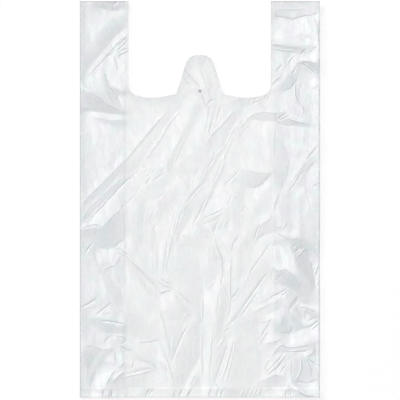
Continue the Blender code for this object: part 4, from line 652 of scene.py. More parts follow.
# Fold lines as (strength, width, points across and along). A strength above nothing is a ridge whose
# lit side lies left of the way that the points run, and one below nothing is a groove whose lit side
# lies right of it. The width is that of the lit side, and the other side is steep.
FOLD_LINES = (
    # left handle
    (-0.6, 1.6, -108, 489, -105, 494, -102, 496),
    (0.5, 1.5, -141, 401, -126, 418, -116, 430, -103, 444.5, -96.5, 451.5),
    (0.4, 1.2, -139, 399, -130, 408, -121, 417.5),
    (-0.4, 1.5, -118, 424.5, -112, 429, -107, 433),
    (-0.7, 2.2, -102, 440, -96, 446, -91, 451.5),
    (-0.9, 2.4, -104.5, 432.5, -99, 438, -94, 443, -88.5, 448.5),
    (-0.9, 2.4, -102, 431.5, -96, 435, -88.5, 437.5),
    (-0.8, 2.2, -102.5, 426.5, -96, 429.5, -88.5, 433.5),
    (-0.6, 1.8, -101.5, 407, -103.5, 418, -107, 430),
    (-0.4, 2.5, -97, 361, -100, 370, -104, 379, -113, 389.5, -117, 401, -119, 412),
    (-0.4, 1.4, -105, 366, -112, 376, -118, 388),
    (-0.6, 1.5, -114, 388.5, -106, 379.5, -99, 374.5),
    (0.5, 1.6, -146, 390, -133, 381, -121, 372, -116, 366.5, -109, 364.5, -96, 356.5),
    (0.3, 1.5, -139, 352, -122, 349, -110, 347, -94, 347.5),
    # diagonals below the tab
    (0.7, 6, -103, 288, -90, 300.5, -80, 313, -70, 325, -60, 337, -50, 349, -40, 360),
    (0.4, 3, -74, 288, -60, 308.5, -50, 322, -41, 338, -33, 349, -22, 363),
    (0.3, 1.5, -36, 306, -28, 318, -22, 330),
    (0.3, 1.5, -31, 297, -24, 312, -17, 326, -8, 344),
    # tab
    (-0.7, 1.8, 4, 387, -1, 391.5, -8, 399, -15, 407.5, -21, 414),
    (-0.5, 1.5, -8, 389, -14, 394, -20, 400.5),
    (0.3, 1.5, 9, 385, 6, 394, 1, 409, -3, 426),
    (0.3, 1.5, 8, 392, 2, 405, -3, 412),
    (-0.4, 1.5, 10, 426, 7, 419, 5, 413),
    (-0.5, 1.3, 8.5, 365, 5, 374, 2, 381),
    (0.4, 1.4, 12, 374, 9, 388),
    (-0.7, 1.6, 9, 365, 11, 368.5, 14, 371.5, 20, 373.5),
    (-0.3, 1.3, 6, 321, 9, 340, 12, 358, 15, 370),
    (-0.6, 1.4, 11.5, 329, 14.5, 341, 18.5, 354.5),
    (-0.5, 1.3, 21.5, 346, 24, 356, 27.5, 367),
    (-0.4, 1.2, 18, 352, 20, 362, 22, 369),
    (0.5, 2.5, 8, 318, 16, 331, 26, 340, 34, 349, 42, 360),
    (0.3, 1.4, 17, 296, 24, 306, 33, 318, 41, 333, 47, 344),
    (-0.4, 1.2, 15, 298, 18, 305, 21, 309),
    (0.3, 1.3, 27, 296, 33, 306, 38, 319, 44, 333),
    # right handle
    (0.3, 1.5, 90, 485, 97, 486.3, 121, 485.8, 129, 487, 135, 484.3, 143, 485),
    (-0.5, 1.8, 88.5, 477.5, 108, 475, 117, 472.6, 124, 475.8, 132, 477.5, 144, 478),
    (-0.5, 1.5, 142, 478, 149, 482.5),
    (-0.6, 1.5, 149, 438, 149, 461, 146.5, 469, 141.5, 477),
    (-0.4, 1.5, 131, 456, 131, 471),
    (0.6, 1.8, 88.5, 442.8, 97, 442, 106, 441),
    (0.4, 1.5, 103, 439, 115, 438.5, 128, 438),
    (0.5, 1.6, 90, 437.5, 105, 434.5, 122, 433.5),
    (-0.9, 2, 126, 428.5, 130, 433.5, 134.5, 437),
    (-0.7, 1.5, 129.5, 428, 132, 431.5, 135, 433.5),
    (-0.5, 1.5, 126, 424, 135, 429.8, 147, 439.5),
    (0.6, 2, 121, 419.5, 130, 421.3, 140, 420.3, 149, 418),
    (-0.9, 1.8, 149.5, 402, 143, 408.5, 136, 414.5, 130, 418, 122, 419),
    (0.8, 2.2, 110, 417.5, 112, 423, 118.5, 428.5),
    (-0.9, 2, 96.5, 408, 99.5, 412, 103, 416.5),
    (-0.4, 1.4, 101, 398, 106, 408, 110, 417),
    (-0.9, 2.2, 115.5, 404, 118, 408, 120, 414),
    (-0.4, 1.5, 120, 421, 123, 424.5, 128, 427),
    (-0.4, 1.5, 103, 401, 103.5, 410, 105, 414),
    (-0.5, 1.8, 104, 383.5, 113, 386.5, 119, 393, 123.5, 401),
    (0.4, 1.3, 88, 392, 94, 397, 101, 402),
    (-0.5, 1.3, 91, 390, 96, 396, 104, 402),
    (-0.5, 1.5, 140, 384.5, 145.5, 387, 149.5, 392),
    (0.8, 2, 121, 350, 126, 351.5, 129.3, 356, 129, 363, 122.5, 370, 119.5, 378, 119, 390, 121, 400),
    (-0.4, 1.6, 125, 374, 124.5, 384, 128, 392),
    (0.4, 1.5, 143, 344, 142.5, 356, 139.5, 370, 134.5, 380, 129, 385),
    (0.4, 1.5, 52, 337, 60, 350.3, 68, 355.5, 80, 358, 92, 356.5, 103, 356.5, 110, 360),
    (-0.4, 1.5, 94, 346.3, 82, 346.3, 70, 349, 62, 346),
    (-0.9, 2.2, 96, 347.5, 103, 352.5, 109.5, 356.5),
    (-0.8, 1.8, 97.5, 346.5, 104, 349, 112, 353.5),
    (0.8, 2, 106, 351.5, 114, 348, 122, 345.5, 138.5, 342.3),
    (-0.9, 1.8, 119, 340, 108, 342.5, 96, 344.8),
    (-0.3, 1.5, 93.5, 296, 94.5, 318, 95.5, 340),
    (-0.5, 1.5, 133, 296, 141, 306.5, 149.5, 317.5),
    (-0.4, 1.4, 48, 322, 55, 332, 62, 340, 67, 346),
    (-0.6, 1.4, 66, 367.5, 69.5, 369.3, 73, 370.3),
    (-0.5, 1.4, 68, 372, 71, 375, 73.5, 378.5),
    (0.4, 1.5, 83.5, 359.5, 77, 366, 71, 372.5),
    (-0.6, 1.5, 82, 374, 84, 379, 87.5, 385),
    (-0.4, 1.4, 85.5, 371, 86.5, 377, 89, 383),
    (-0.3, 1.4, 58, 361, 62, 368, 66, 376),
    (-0.4, 1.5, 147, 334, 143, 335, 141.5, 331),
    # left side above the middle
    (0.4, 2.5, -150, 242.5, -138, 253, -120, 271, -110, 280.5, -99, 292.5, -91, 300),
    (-1.1, 2.2, -149, 212.5, -140, 220, -130, 230, -120, 240.5, -110, 251.5, -100, 263, -92, 270.5, -84, 277,
     -75, 285.5, -68, 292),
    (-0.4, 1.5, -149, 225, -133, 240, -116, 256, -103, 270),
    (0.5, 1.6, -124, 212.5, -118, 217.5, -110, 226.5, -97, 238.5),
    (-0.5, 1.5, -149, 211, -135, 215, -130, 216, -125, 211.5),
    (0.4, 1.4, -94, 198, -95, 213, -97, 229, -97.5, 238),
    (-0.7, 1.4, -98, 238, -94, 241),
    (-0.3, 1.2, -94, 241, -87, 247, -80, 253.5),
    (0.3, 1.3, -102, 193, -94, 199),
    (-0.6, 1.4, -68.5, 265, -65, 270, -61.5, 276),
    (-0.3, 1.2, -79.5, 256.5, -76, 262, -72.5, 267.5),
    (-0.6, 1.4, -60, 269, -50, 277, -41.5, 283),
    (-0.5, 1.2, -72, 288, -66, 288.5),
    (-0.5, 1.2, -69, 280.5, -65, 286.5),
    (-0.4, 1.2, -67, 274, -63, 281, -60, 288),
    (-0.3, 1.2, -62, 276, -57, 284, -52, 291),
    (-0.5, 1.2, -49, 281, -44, 286.5),
    (-0.3, 1.2, -50, 290, -44, 296, -41, 300),
    (0.3, 1.3, -69, 212, -67, 228, -64, 240),
    (0.4, 1.3, -66, 221, -61, 230, -57, 240),
    (-0.4, 1.5, -60, 208, -56, 214, -49, 221),
    # middle
    (0.4, 1.2, -39, 281, -35, 290, -33, 301),
    (0.4, 1.4, -32, 293, -29, 300, -26, 306),
    (0.4, 1.5, -11, 262, -9.5, 272, -15, 277.7, -24, 278, -29, 274),
    (-0.8, 1.5, -20, 241, -12, 249.5, -5, 258.5, 0, 264, 7, 270),
    (-0.4, 1.3, 1, 270, 4, 279, 8, 289),
    (-0.6, 1.3, 8.5, 286, 14, 293.5, 20, 303),
    (-0.3, 1.3, -9.5, 272, -5, 281, 0, 289),
    (-0.4, 1.3, -39, 193, -37, 206, -33, 224, -29, 240),
    (-0.4, 1.3, -35, 195, -33, 209, -28, 227, -23, 245),
    (-0.5, 1.3, -33, 195, -30, 207, -25, 224, -20, 241),
    (0.3, 1.2, -31, 195, -28, 209, -24, 222),
    (-0.5, 1.3, 17, 268, 21, 278, 25, 288, 30, 301),
    (0.3, 1.3, 24, 272, 28, 285, 33, 298),
    (-0.6, 1.4, 4, 232, 8, 239, 13, 249.5, 19, 259.5),
    (-0.7, 1.5, -9, 215.5, -5, 222, 0, 231, 4, 241, 9, 254),
    (-0.7, 1.4, 29, 265, 38, 272.5, 46, 280.5, 51, 286.5),
    (-0.4, 1.2, 33, 272, 40, 278.5, 47, 285.5),
    (-0.6, 1.4, 1, 220.5, 8, 225.5, 15, 228.5, 25, 232.5, 32, 239),
    (-0.5, 1.4, 3, 216.5, 10, 218.7, 20, 222.5, 27, 229.5),
    (0.4, 1.5, 18, 193, 14, 201, 10, 208, 3, 214, -1, 217),
    (-0.5, 1.3, 17, 202, 19, 212, 25, 226),
    (-0.5, 1.3, 23, 208, 27, 214.5, 31, 222),
    (-0.6, 1.2, 31, 211, 34, 216, 38, 222),
    (-0.4, 1.2, 33, 208, 36, 213, 40, 220),
    (-0.4, 1.3, 36, 242, 38.5, 248, 41, 254),
    (-0.4, 1.3, 40, 236, 43, 245, 46, 253),
    (-0.3, 1.3, -3, 196, -5, 204, -1, 214),
    (-0.3, 1.3, -52, 247, -49, 253, -44, 258),
    # right side above the middle
    (0.4, 1.5, 49, 286, 55, 286.2, 62, 284.3, 70, 282, 80, 281.3, 92, 281.5),
    (-0.7, 1.8, 60, 263.5, 68, 262.5, 74, 264.5, 80, 269, 86, 275.5, 94, 283),
    (0.6, 2.2, 90.5, 232, 93, 239, 96, 249, 99, 258),
    (0.6, 2.0, 77, 217, 83, 220.5, 88, 225, 90.5, 231),
    (-0.5, 1.5, 108, 270, 111, 284, 112, 300),
    (-0.3, 1.2, 103, 262, 105, 275),
    (0.4, 1.4, 110, 263, 120, 279, 130, 291, 139, 302.5),
    (-0.5, 1.5, 112, 257, 118, 266, 127, 280, 133, 286),
    (-0.5, 1.4, 134, 282, 140, 290, 145, 295),
    (-0.4, 1.5, 140, 233, 137, 245, 133, 262, 131, 276),
    (-0.5, 1.3, 141, 264, 149, 266.3),
    (0.4, 1.5, 94, 212, 99, 214, 104, 212.5, 107, 216, 108.5, 224),
    (0.6, 1.8, 94, 207.5, 100, 205.3, 106, 202, 114, 199.3, 122, 199, 129, 196),
    (-0.8, 1.8, 68, 193, 70, 204, 73.5, 213, 77, 218.5),
    (-0.5, 1.3, 73.5, 203, 76, 211, 78, 217),
    (-0.8, 1.6, 71, 196.5, 76, 201, 82, 205.5),
    (-0.4, 1.3, 51, 230, 55, 236, 59, 243),
    # left side under the middle
    (-0.7, 1.6, -144, 179, -139, 187, -132.5, 195),
    (-0.6, 1.5, -109, 186.8, -101, 193.3, -93.5, 199),
    (0.5, 1.8, -123, 159.5, -114, 163.8, -106, 166.5),
    (-0.6, 1.5, -106, 185, -95.5, 185.7),
    (-0.7, 1.5, -99, 184, -95, 181.5, -90, 177.5),
    (0.5, 1.5, -106, 166, -103, 172, -98.5, 179),
    (0.7, 2.5, -95, 181, -80, 165.5, -65, 151.5, -48, 133),
    (-0.4, 1.4, -85, 171, -75, 161.5, -60, 148, -47, 136),
    (-0.3, 1.2, -91, 184, -92, 197),
    (-1.0, 2.0, -148, 112.5, -138, 118, -133, 120.5, -127, 126),
    (-0.9, 1.8, -131, 101.5, -125, 107, -119, 112, -109.5, 119),
    (-0.4, 1.3, -127, 103.5, -118, 104, -110, 106.5),
    (0.4, 1.5, -55, 152, -55, 175, -54, 200),
    (-0.3, 1.3, -51, 150, -52, 175, -51, 200),
    # middle, under the middle of the bag
    (-0.5, 1.6, -46, 151, -44.5, 163, -42.5, 180, -40, 200),
    (-0.4, 1.6, -38.5, 172, -36, 185, -33.5, 200),
    (-0.3, 1.3, -35, 178, -32, 190, -30.5, 200),
    (0.4, 1.6, -43, 150, -42, 165, -39, 182, -37, 196),
    (0.9, 1.8, -54, 151, -49.5, 144, -45, 142, -41, 139.5, -35, 136.5),
    (0.5, 1.5, -50, 152, -44, 147, -38, 143.5, -33, 139),
    (1.2, 1.8, -52, 134.5, -47, 132, -43, 134, -36, 134.3),
    (-1.1, 1.5, -49, 129, -45.5, 130, -41, 132.5),
    (0.5, 1.5, -49, 112, -48, 104, -46, 97, -44, 92),
    (0.4, 1.4, -19, 94, -19, 101, -15, 106, -9, 101),
    (-0.4, 1.6, -33, 133, -29, 127.5, -23, 119.5, -17, 110, -11, 102, -2, 100),
    (0.5, 1.6, -32, 138.5, -24, 130.5, -15, 122, -8, 116),
    (-0.8, 1.6, 26.8, 136, 27.5, 144, 29, 152, 29.7, 160, 29.3, 170, 28, 176, 24.5, 184, 22, 192, 20, 200),
    (0.5, 1.5, 24, 160, 27, 168, 26, 174, 22, 184, 19, 194, 17.5, 202),
    (-0.5, 1.5, 18, 184, 19, 178, 21, 173, 23, 168),
    (0.9, 1.6, 38.2, 112, 37.8, 125, 37.5, 140, 38, 155, 38.6, 168, 38.3, 177),
    (-0.8, 1.5, 41, 180, 41, 187, 43, 194, 46, 200),
    (-0.8, 1.4, 44.5, 193, 46, 198, 49, 202),
    (0.4, 1.3, 35, 177.5, 33, 184, 30, 191, 27, 198),
    (0.6, 1.6, 30, 94, 33, 100, 36, 108, 37.5, 116, 34.5, 125, 31, 133, 28.5, 140),
    (-0.6, 1.5, 38.5, 119, 42, 126, 46, 130, 50, 140),
    (0.4, 1.4, 40, 119, 44, 124, 50, 131),
    (-0.4, 1.6, 38, 94, 45, 103, 51, 111),
    (0.7, 1.5, 3.2, 94, 3.2, 112, 3.8, 133),
    (-0.4, 1.8, 20, 94, 21.5, 108, 24, 124, 25.5, 138),
    (0.4, 1.5, 4, 134, 10, 136, 15, 141, 21, 149),
    # right side under the middle
    (-0.7, 1.6, 60, 150.5, 67, 162, 74, 172, 80, 180, 86, 190, 91, 197),
    (-1.1, 2.0, 50, 107, 60, 121.5, 70, 136, 80, 150, 86, 157.5, 90.5, 163),
    (-0.5, 1.8, 50, 99, 58, 110, 66, 122, 74, 133),
    (0.4, 1.4, 52, 138, 58, 147, 63, 158, 67, 172),
    (-1.2, 2.0, 86, 123, 92, 127, 100, 130.5, 105, 133.5, 111, 138.5),
    (-1.0, 1.4, 101.5, 126, 105, 129, 110, 134),
    (0.6, 1.8, 69, 108.5, 76, 112, 83, 115.5, 92, 119.5),
    (-0.5, 1.6, 74, 117, 82, 120, 90, 126),
    (-1.1, 1.8, 110.5, 106.5, 114, 112.5, 117, 118.5, 121, 123, 124, 130),
    (-0.9, 1.5, 115, 110, 118, 115, 121, 120, 123, 126),
    (-1.1, 1.4, 115, 186.5, 118, 189.5, 121, 192.5),
    (-1.0, 1.7, 119, 181.5, 122.5, 185, 125.5, 188.5),
    (1.2, 2.0, 121, 175, 126, 180, 132, 187.5),
    (-0.6, 1.6, 142.5, 157, 140.5, 167, 137.5, 177, 133, 187.5),
    (-1.2, 1.5, 141, 155, 144.5, 163),
    (1.5, 1.8, 143, 153, 146, 160, 149, 170),
    (0.6, 1.5, 146, 139, 148, 146, 149.5, 154),
    (-0.7, 1.6, 129.5, 97, 126.5, 104, 122, 111, 120, 118),
    (0.6, 1.6, 121, 94, 116, 100, 112, 105.5, 108.5, 112.5),
    (0.5, 1.6, 122, 113, 132, 114, 138, 111.5, 149, 106),
    (-0.5, 1.4, 131, 96, 133, 104, 134, 109),
    (-0.6, 1.4, 134, 95, 139, 97.5, 143, 99.5, 149, 99.5),
    (0.6, 1.5, 92, 163, 97, 158.5, 107, 161, 113, 157, 120, 148, 127, 138),
    (-0.4, 1.4, 92, 165, 92, 178, 92.5, 194),
    (0.4, 1.3, 98, 166, 98, 178, 97, 190),
    (-0.4, 1.3, 103, 165, 101, 178, 100, 190),
    (-0.4, 1.4, 89, 147, 91, 156, 91, 162),
    (-0.6, 1.5, 92, 146, 97, 147.5, 100, 151, 104, 157),
    (0.5, 1.4, 141, 200, 143, 190, 146, 181, 149.5, 174),
    # lower left
    (-1.1, 1.8, -126, 95, -115, 95.7, -105, 94, -93.5, 91.2),
    (0.9, 1.6, -107, 78, -99, 77.5, -95, 75.5, -92.5, 70),
    (-1.1, 1.5, -98, 66.5, -94.5, 69, -94, 72),
    (-1.0, 1.6, -99.5, 65.2, -95, 61.5, -90, 59, -84.5, 57.5),
    (-0.7, 1.4, -100, 63, -97, 59.5, -95, 55.5),
    (-0.7, 1.8, -120, 69, -115, 74, -109, 78.3),
    (0.7, 1.5, -101, 37.5, -98, 41, -95, 44.5),
    (1.6, 2.0, -119, 13, -116, 19.5, -112, 26.5, -109, 31.3, -104, 36),
    (1.2, 1.8, -109.5, 19.5, -105, 24.5, -100, 29, -94, 33.5),
    (1.0, 2.2, -98, 23.5, -90, 27, -80, 29, -70, 31.3, -58, 35),
    (-0.6, 1.4, -88, 31, -78, 33, -68, 35.7, -58, 36.7),
    (-0.7, 1.5, -87, 35.5, -84, 38, -82, 46),
    (-0.7, 1.6, -81, 49.5, -70, 45.5, -62, 43, -55, 39),
    (0.9, 1.6, -60, 44.5, -57.5, 41.5, -54.5, 38),
    (-0.7, 1.8, -76, 69, -68, 68.3, -60, 69.5, -51, 71.5),
    (0.5, 1.4, -142, 14, -141.5, 28, -142, 40, -146, 56),
    (-0.5, 1.5, -136, 14, -133, 24, -129, 34),
    (0.5, 1.5, -147, 65, -138, 65.6, -130, 64, -121, 60, -112, 63),
    (0.5, 1.4, -107, 40, -106.5, 50, -107.5, 60),
    (0.4, 1.3, -96.5, 46, -97, 56, -101, 62),
    (0.6, 1.3, -84, 45, -85, 40, -88, 36),
    # lower middle
    (-1.2, 2.0, -36.5, 40, -33.5, 49, -30, 58, -26, 68.5, -20.5, 80, -11, 96),
    (0.5, 1.5, -35, 55, -33.5, 68, -32, 80),
    (0.5, 1.4, -37, 42, -38, 55, -40, 70, -43.5, 85, -47, 101),
    (0.8, 1.8, -32.5, 14, -36, 27, -39.5, 41, -42, 50, -46, 61.5, -51, 74),
    (1.1, 1.8, -51.5, 47.5, -47, 42.5, -44, 39, -39.5, 32),
    (0.4, 1.4, -43, 17, -42.5, 28, -43, 38),
    (-0.3, 1.4, -47, 30, -46.5, 39),
    (0.5, 1.5, -13, 14, -10, 21, -7, 27, -3, 28),
    (0.4, 1.5, -8, 14, -6, 20, -3, 25),
    (-0.6, 1.4, 18.3, 66, 18.8, 76),
    (-0.8, 1.8, 18, 14, 21, 26, 25, 37, 29.5, 49.5, 32.5, 61, 36, 72),
    (1.2, 1.8, 24.5, 14, 28.5, 26, 33, 39, 36.5, 52, 40, 64, 43.5, 76),
    (0.5, 1.6, 31, 14, 35, 28, 39, 43, 42, 56, 45, 76),
    (-0.4, 1.5, 33, 30, 36, 42, 39, 56),
    (-1.0, 1.5, 31, 81.3, 35, 85, 38, 88),
    (-0.6, 1.6, 32, 86.5, 38, 92, 44, 98, 50, 103),
    (0.5, 1.4, 20, 60, 26, 68, 31, 75),
    (0.4, 1.4, 18, 44, 22, 50, 26, 58),
    (0.5, 1.8, 2.7, 14, 2.7, 40, 2, 58, 3, 80, 3, 96),
    (-0.5, 2, 12.5, 14, 13, 34, 15, 56, 17, 78, 19, 98),
    # skirt pleats
    (-1.2, 1.5, -25.5, 1, -24, 5, -21, 11),
    (0.6, 1.4, -27.5, 2, -26, 7, -24, 11),
    (-1.3, 1.8, -15.5, 1, -13, 5, -9, 11),
    (0.7, 1.4, -18, 1, -16, 5, -13, 11),
    (-1.1, 1.6, 11.5, 1, 13, 5, 15, 11),
    (-1.2, 1.6, 21, 1, 22.3, 5, 24, 11),
    (-1.1, 1.5, 26, 1, 27.5, 5, 30, 11),
    (0.5, 1.4, -33, 1, -33, 11),
    (-1.2, 1.5, -121, 1, -120, 11.5),
    (-1.5, 1.7, -109.5, 0.5, -109.6, 11.5),
    (0.6, 1.4, -114, 1, -114, 11),
    (-1.3, 1.5, -68, 1, -65, 6, -61, 11),
    (-1.2, 1.5, -64.5, 1, -61.5, 6, -57, 11),
    (-1.6, 1.5, 107, 1, 108, 5, 109, 11),
    (-1.3, 1.4, 111, 1, 111, 11),
    (-1.5, 1.5, 114, 1, 113.7, 11),
    (0.5, 1.4, 52, 2, 55, 11),
    (0.6, 1.4, 57, 2, 60, 11),
    (0.6, 1.4, 62, 2, 66, 11),
    (0.6, 1.4, 67, 2, 71, 11),
    (0.6, 1.4, 72, 3, 77, 12),
    (1.4, 1.8, 122, 9.5, 127, 7, 130, 4.8, 135, 2.7, 144, 2),
    # lower right
    (-1.0, 1.5, 75.5, 73, 79, 79.5, 84, 88, 90.5, 98.5),
    (-0.9, 1.5, 75.5, 61, 78, 69, 81, 75.5, 87, 82),
    (0.6, 1.6, 77, 95, 84, 96, 91, 99.5),
    (0.6, 1.6, 81, 68, 90, 69.3, 96, 71, 101, 73.5),
    (0.8, 1.6, 88, 49, 94, 57, 98, 63, 103, 66.5, 109, 63.6, 116, 63, 126, 65, 141, 67.5),
    (0.5, 1.6, 106, 57, 118, 58.5, 130, 60, 142, 61),
    (-0.5, 1.5, 98, 54, 108, 57.5, 120, 57, 132, 58, 141, 62),
    (0.6, 1.6, 80, 34, 84, 44, 88, 50),
    (-1.7, 2.0, 82, 26, 90, 32, 97, 37, 103, 45, 107, 51, 113, 54),
    (-1.2, 1.5, 89, 37, 94, 42, 99, 47.5, 104.5, 54.5),
    (-0.6, 1.5, 81, 29, 86, 34, 91, 39),
    (-0.8, 1.5, 101, 29.5, 104, 36, 108, 41),
    (0.7, 1.6, 81, 23, 88, 26, 94, 28.5, 101, 29),
    (1.4, 1.7, 119, 19.5, 123, 26, 126.5, 34, 127.3, 42, 126.3, 52),
    (-0.5, 1.4, 114.5, 24, 115.5, 36, 115, 50),
    (0.9, 1.6, 140, 26, 138, 36, 135, 44, 132, 51),
    (0.8, 1.4, 133, 52, 138, 54, 143, 58),
    (-1.0, 1.7, 117, 21, 124, 19.6, 130, 18.5, 135, 17.2, 140, 19.3, 150, 23),
    (-0.9, 1.6, 134, 49, 140, 45, 149.5, 37.5),
    (-0.8, 1.5, 147, 43, 145, 55, 144, 67),
    (-0.8, 1.6, 128, 86.5, 134, 87.3, 141, 90, 150, 97),
    (-0.9, 1.4, 140, 84, 147, 90, 150, 94),
    (-0.6, 1.4, 137, 87, 143, 91.5, 149, 98.5),
    (-0.6, 1.6, 96, 84, 104, 80.5, 112, 80.3, 116, 84.5, 114, 93),
)


# The height of the film

def bag_point(x, y, z):
    """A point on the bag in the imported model's metres."""
    return Vector((x, y - LENGTH / 2, z)) * MM


def point_rows(numbers, size=2):
    """Points from their values in turn."""
    return np.array(numbers, float).reshape(-1, size)


def map_shape():
    """Rows and columns of the height map."""
    return tuple(round((high - low) / GRID) + 1 for low, high in zip(MAP_LOW[::-1], MAP_HIGH[::-1]))


def crease_maps():
    """The creased height of the film and its softness, on the grid of the height map."""
    points = []
    softness = []
    lines = []
    for soft, *numbers in CREASES:
        first = len(points)
        points += point_rows(numbers, 3).tolist()
        softness += [soft * (SOFT_LEAST + SOFT_RISE * max(0, z - SOFT_FROM)) for _, _, z in points[first:]]
        lines += [(i, i + 1) for i in range(first, len(points) - 1)]
    points += REST_POINTS
    softness += [REST_SOFTNESS] * len(REST_POINTS)
    corners = [Vector(point[:2]) for point in points]
    spots, _, faces, sources, _, _ = delaunay_2d_cdt(corners, lines, [], 0, NEARLY)
    values = np.array([
        (points[source[0]][2], softness[source[0]]) if source else (SLACK / 2, 1) for source in sources
    ])
    flat = np.array([tuple(spot) for spot in spots])
    rows, columns = map_shape()
    heights = np.full((rows, columns), SLACK / 2)
    soft_map = np.full((rows, columns), float(REST_SOFTNESS))
    for face in faces:
        a, b, c = flat[list(face)]
        low = np.floor((np.minimum(np.minimum(a, b), c) - MAP_LOW) / GRID).astype(int)
        high = np.ceil((np.maximum(np.maximum(a, b), c) - MAP_LOW) / GRID).astype(int) + 1
        low = np.maximum(low, 0)
        xs = MAP_LOW[0] + GRID * np.arange(low[0], min(high[0], columns))
        ys = MAP_LOW[1] + GRID * np.arange(low[1], min(high[1], rows))
        gx, gy = np.meshgrid(xs, ys)
        span = (b[1] - c[1]) * (a[0] - c[0]) + (c[0] - b[0]) * (a[1] - c[1])
        if abs(span) < 1 / FAR:
            continue
        u = ((b[1] - c[1]) * (gx - c[0]) + (c[0] - b[0]) * (gy - c[1])) / span
        v = ((c[1] - a[1]) * (gx - c[0]) + (a[0] - c[0]) * (gy - c[1])) / span
        w = 1 - u - v
        inner = np.minimum(np.minimum(u, v), w) > -1e-6
        block = np.s_[low[1]:low[1] + len(ys), low[0]:low[0] + len(xs)]
        at = values[list(face)]
        for target, k in ((heights, 0), (soft_map, 1)):
            filled = u * at[0, k] + v * at[1, k] + w * at[2, k]
            target[block] = np.where(inner, filled, target[block])
    return heights, soft_map


def blurred(values, radius):
    """A map smoothed by a bell of this radius in millimetres."""
    reach = max(1, round(BELL_REACH * radius / GRID))
    bell = np.exp(-0.5 * (np.arange(-reach, reach + 1) * GRID / radius) ** 2)
    bell /= bell.sum()
    padded = np.pad(values, reach, mode="edge")
    size = [n + len(bell) - 1 for n in padded.shape]
    spectrum = np.fft.rfft2(padded, size)
    spectrum *= np.fft.fft(bell, size[0])[:, None] * np.fft.rfft(bell, size[1])[None, :]
    full = np.fft.irfft2(spectrum, size)
    return full[2 * reach:2 * reach + values.shape[0], 2 * reach:2 * reach + values.shape[1]]


def rounded_creases(heights, soft_map):
    """The creased map with each crease bent over its own radius."""
    stack = np.stack([blurred(heights, radius) for radius in BEND_RADII])
    place = np.clip(np.log2(blurred(soft_map, 1) * BEND_SHARE / BEND_RADII[0]), 0, len(BEND_RADII) - 1.001)
    low = place.astype(int)
    share = place - low
    below = np.take_along_axis(stack, low[None], 0)[0]
    above = np.take_along_axis(stack, low[None] + 1, 0)[0]
    return below * (1 - share) + above * share


def line_profile(strength, width):
    """Height of a fold line, and the widths of its lit side and of its steep side."""
    if abs(strength) < FAINT:
        return FAINT_SLOPE * width, width, CLIFF
    lit = min(width, LIT_WIDEST) * (0.5 + 0.5 * min(abs(strength), MOST_STRENGTH))
    return LIT_SLOPE * lit, lit, CLIFF


def offset_path(path, distance):
    """A path moved to its right, by the normals of its points."""
    points = np.array(path, float)
    ways = np.diff(points, axis=0)
    ways /= np.linalg.norm(ways, axis=1)[:, None]
    at = np.vstack((ways[:1], ways[:-1] + ways[1:], ways[-1:]))
    at /= np.linalg.norm(at, axis=1)[:, None]
    return points + distance * np.stack((at[:, 1], -at[:, 0]), 1)


def add_fold_line(heights, shade, shine, strength, width, path):
    """Raises a ridge along a line, or sinks a groove, and marks its steep side for painted shade and its lit
    side for a painted highlight.
    """
    height, lit, dark = line_profile(strength, width)
    rows, columns = heights.shape
    reach = max(lit, dark)
    low = np.maximum(np.floor((path.min(0) - reach - MAP_LOW) / GRID).astype(int), 0)
    high = np.ceil((path.max(0) + reach - MAP_LOW) / GRID).astype(int) + 1
    xs = MAP_LOW[0] + GRID * np.arange(low[0], min(high[0], columns))
    ys = MAP_LOW[1] + GRID * np.arange(low[1], min(high[1], rows))
    gx, gy = np.meshgrid(xs, ys)
    nearest = np.full(gx.shape, FAR)
    side = np.ones(gx.shape)
    along = np.zeros(gx.shape)
    run = 0.0
    lengths = np.linalg.norm(np.diff(path, axis=0), axis=1)
    for start, end, length in zip(path, path[1:], lengths):
        way = (end - start) / length
        ahead = (gx - start[0]) * way[0] + (gy - start[1]) * way[1]
        left = (gy - start[1]) * way[0] - (gx - start[0]) * way[1]
        t = np.clip(ahead, 0, length)
        away = np.hypot(gx - start[0] - way[0] * t, gy - start[1] - way[1] * t)
        closer = away < nearest
        nearest = np.where(closer, away, nearest)
        side = np.where(closer, np.sign(left), side)
        along = np.where(closer, run + t, along)
        run += length
    taper = np.clip(np.minimum(along, run - along) / (TAPER_RUN * run), LEAST_TAPER, 1)
    taper = taper * (2 - taper)
    lit_side = side > 0 if strength > 0 else side < 0
    half = np.where(lit_side, lit, dark) * taper
    ridge = math.copysign(height, strength) * taper * np.clip(1 - nearest / half, 0, 1)
    block = np.s_[low[1]:low[1] + len(ys), low[0]:low[0] + len(xs)]
    heights[block] += ridge
    mark = min(abs(strength), 1) * taper * (nearest < half)
    shade[block] = np.maximum(shade[block], np.where(lit_side, 0, mark))
    if abs(strength) > FAINT:
        shine[block] = np.maximum(shine[block], np.where(lit_side, mark, 0))


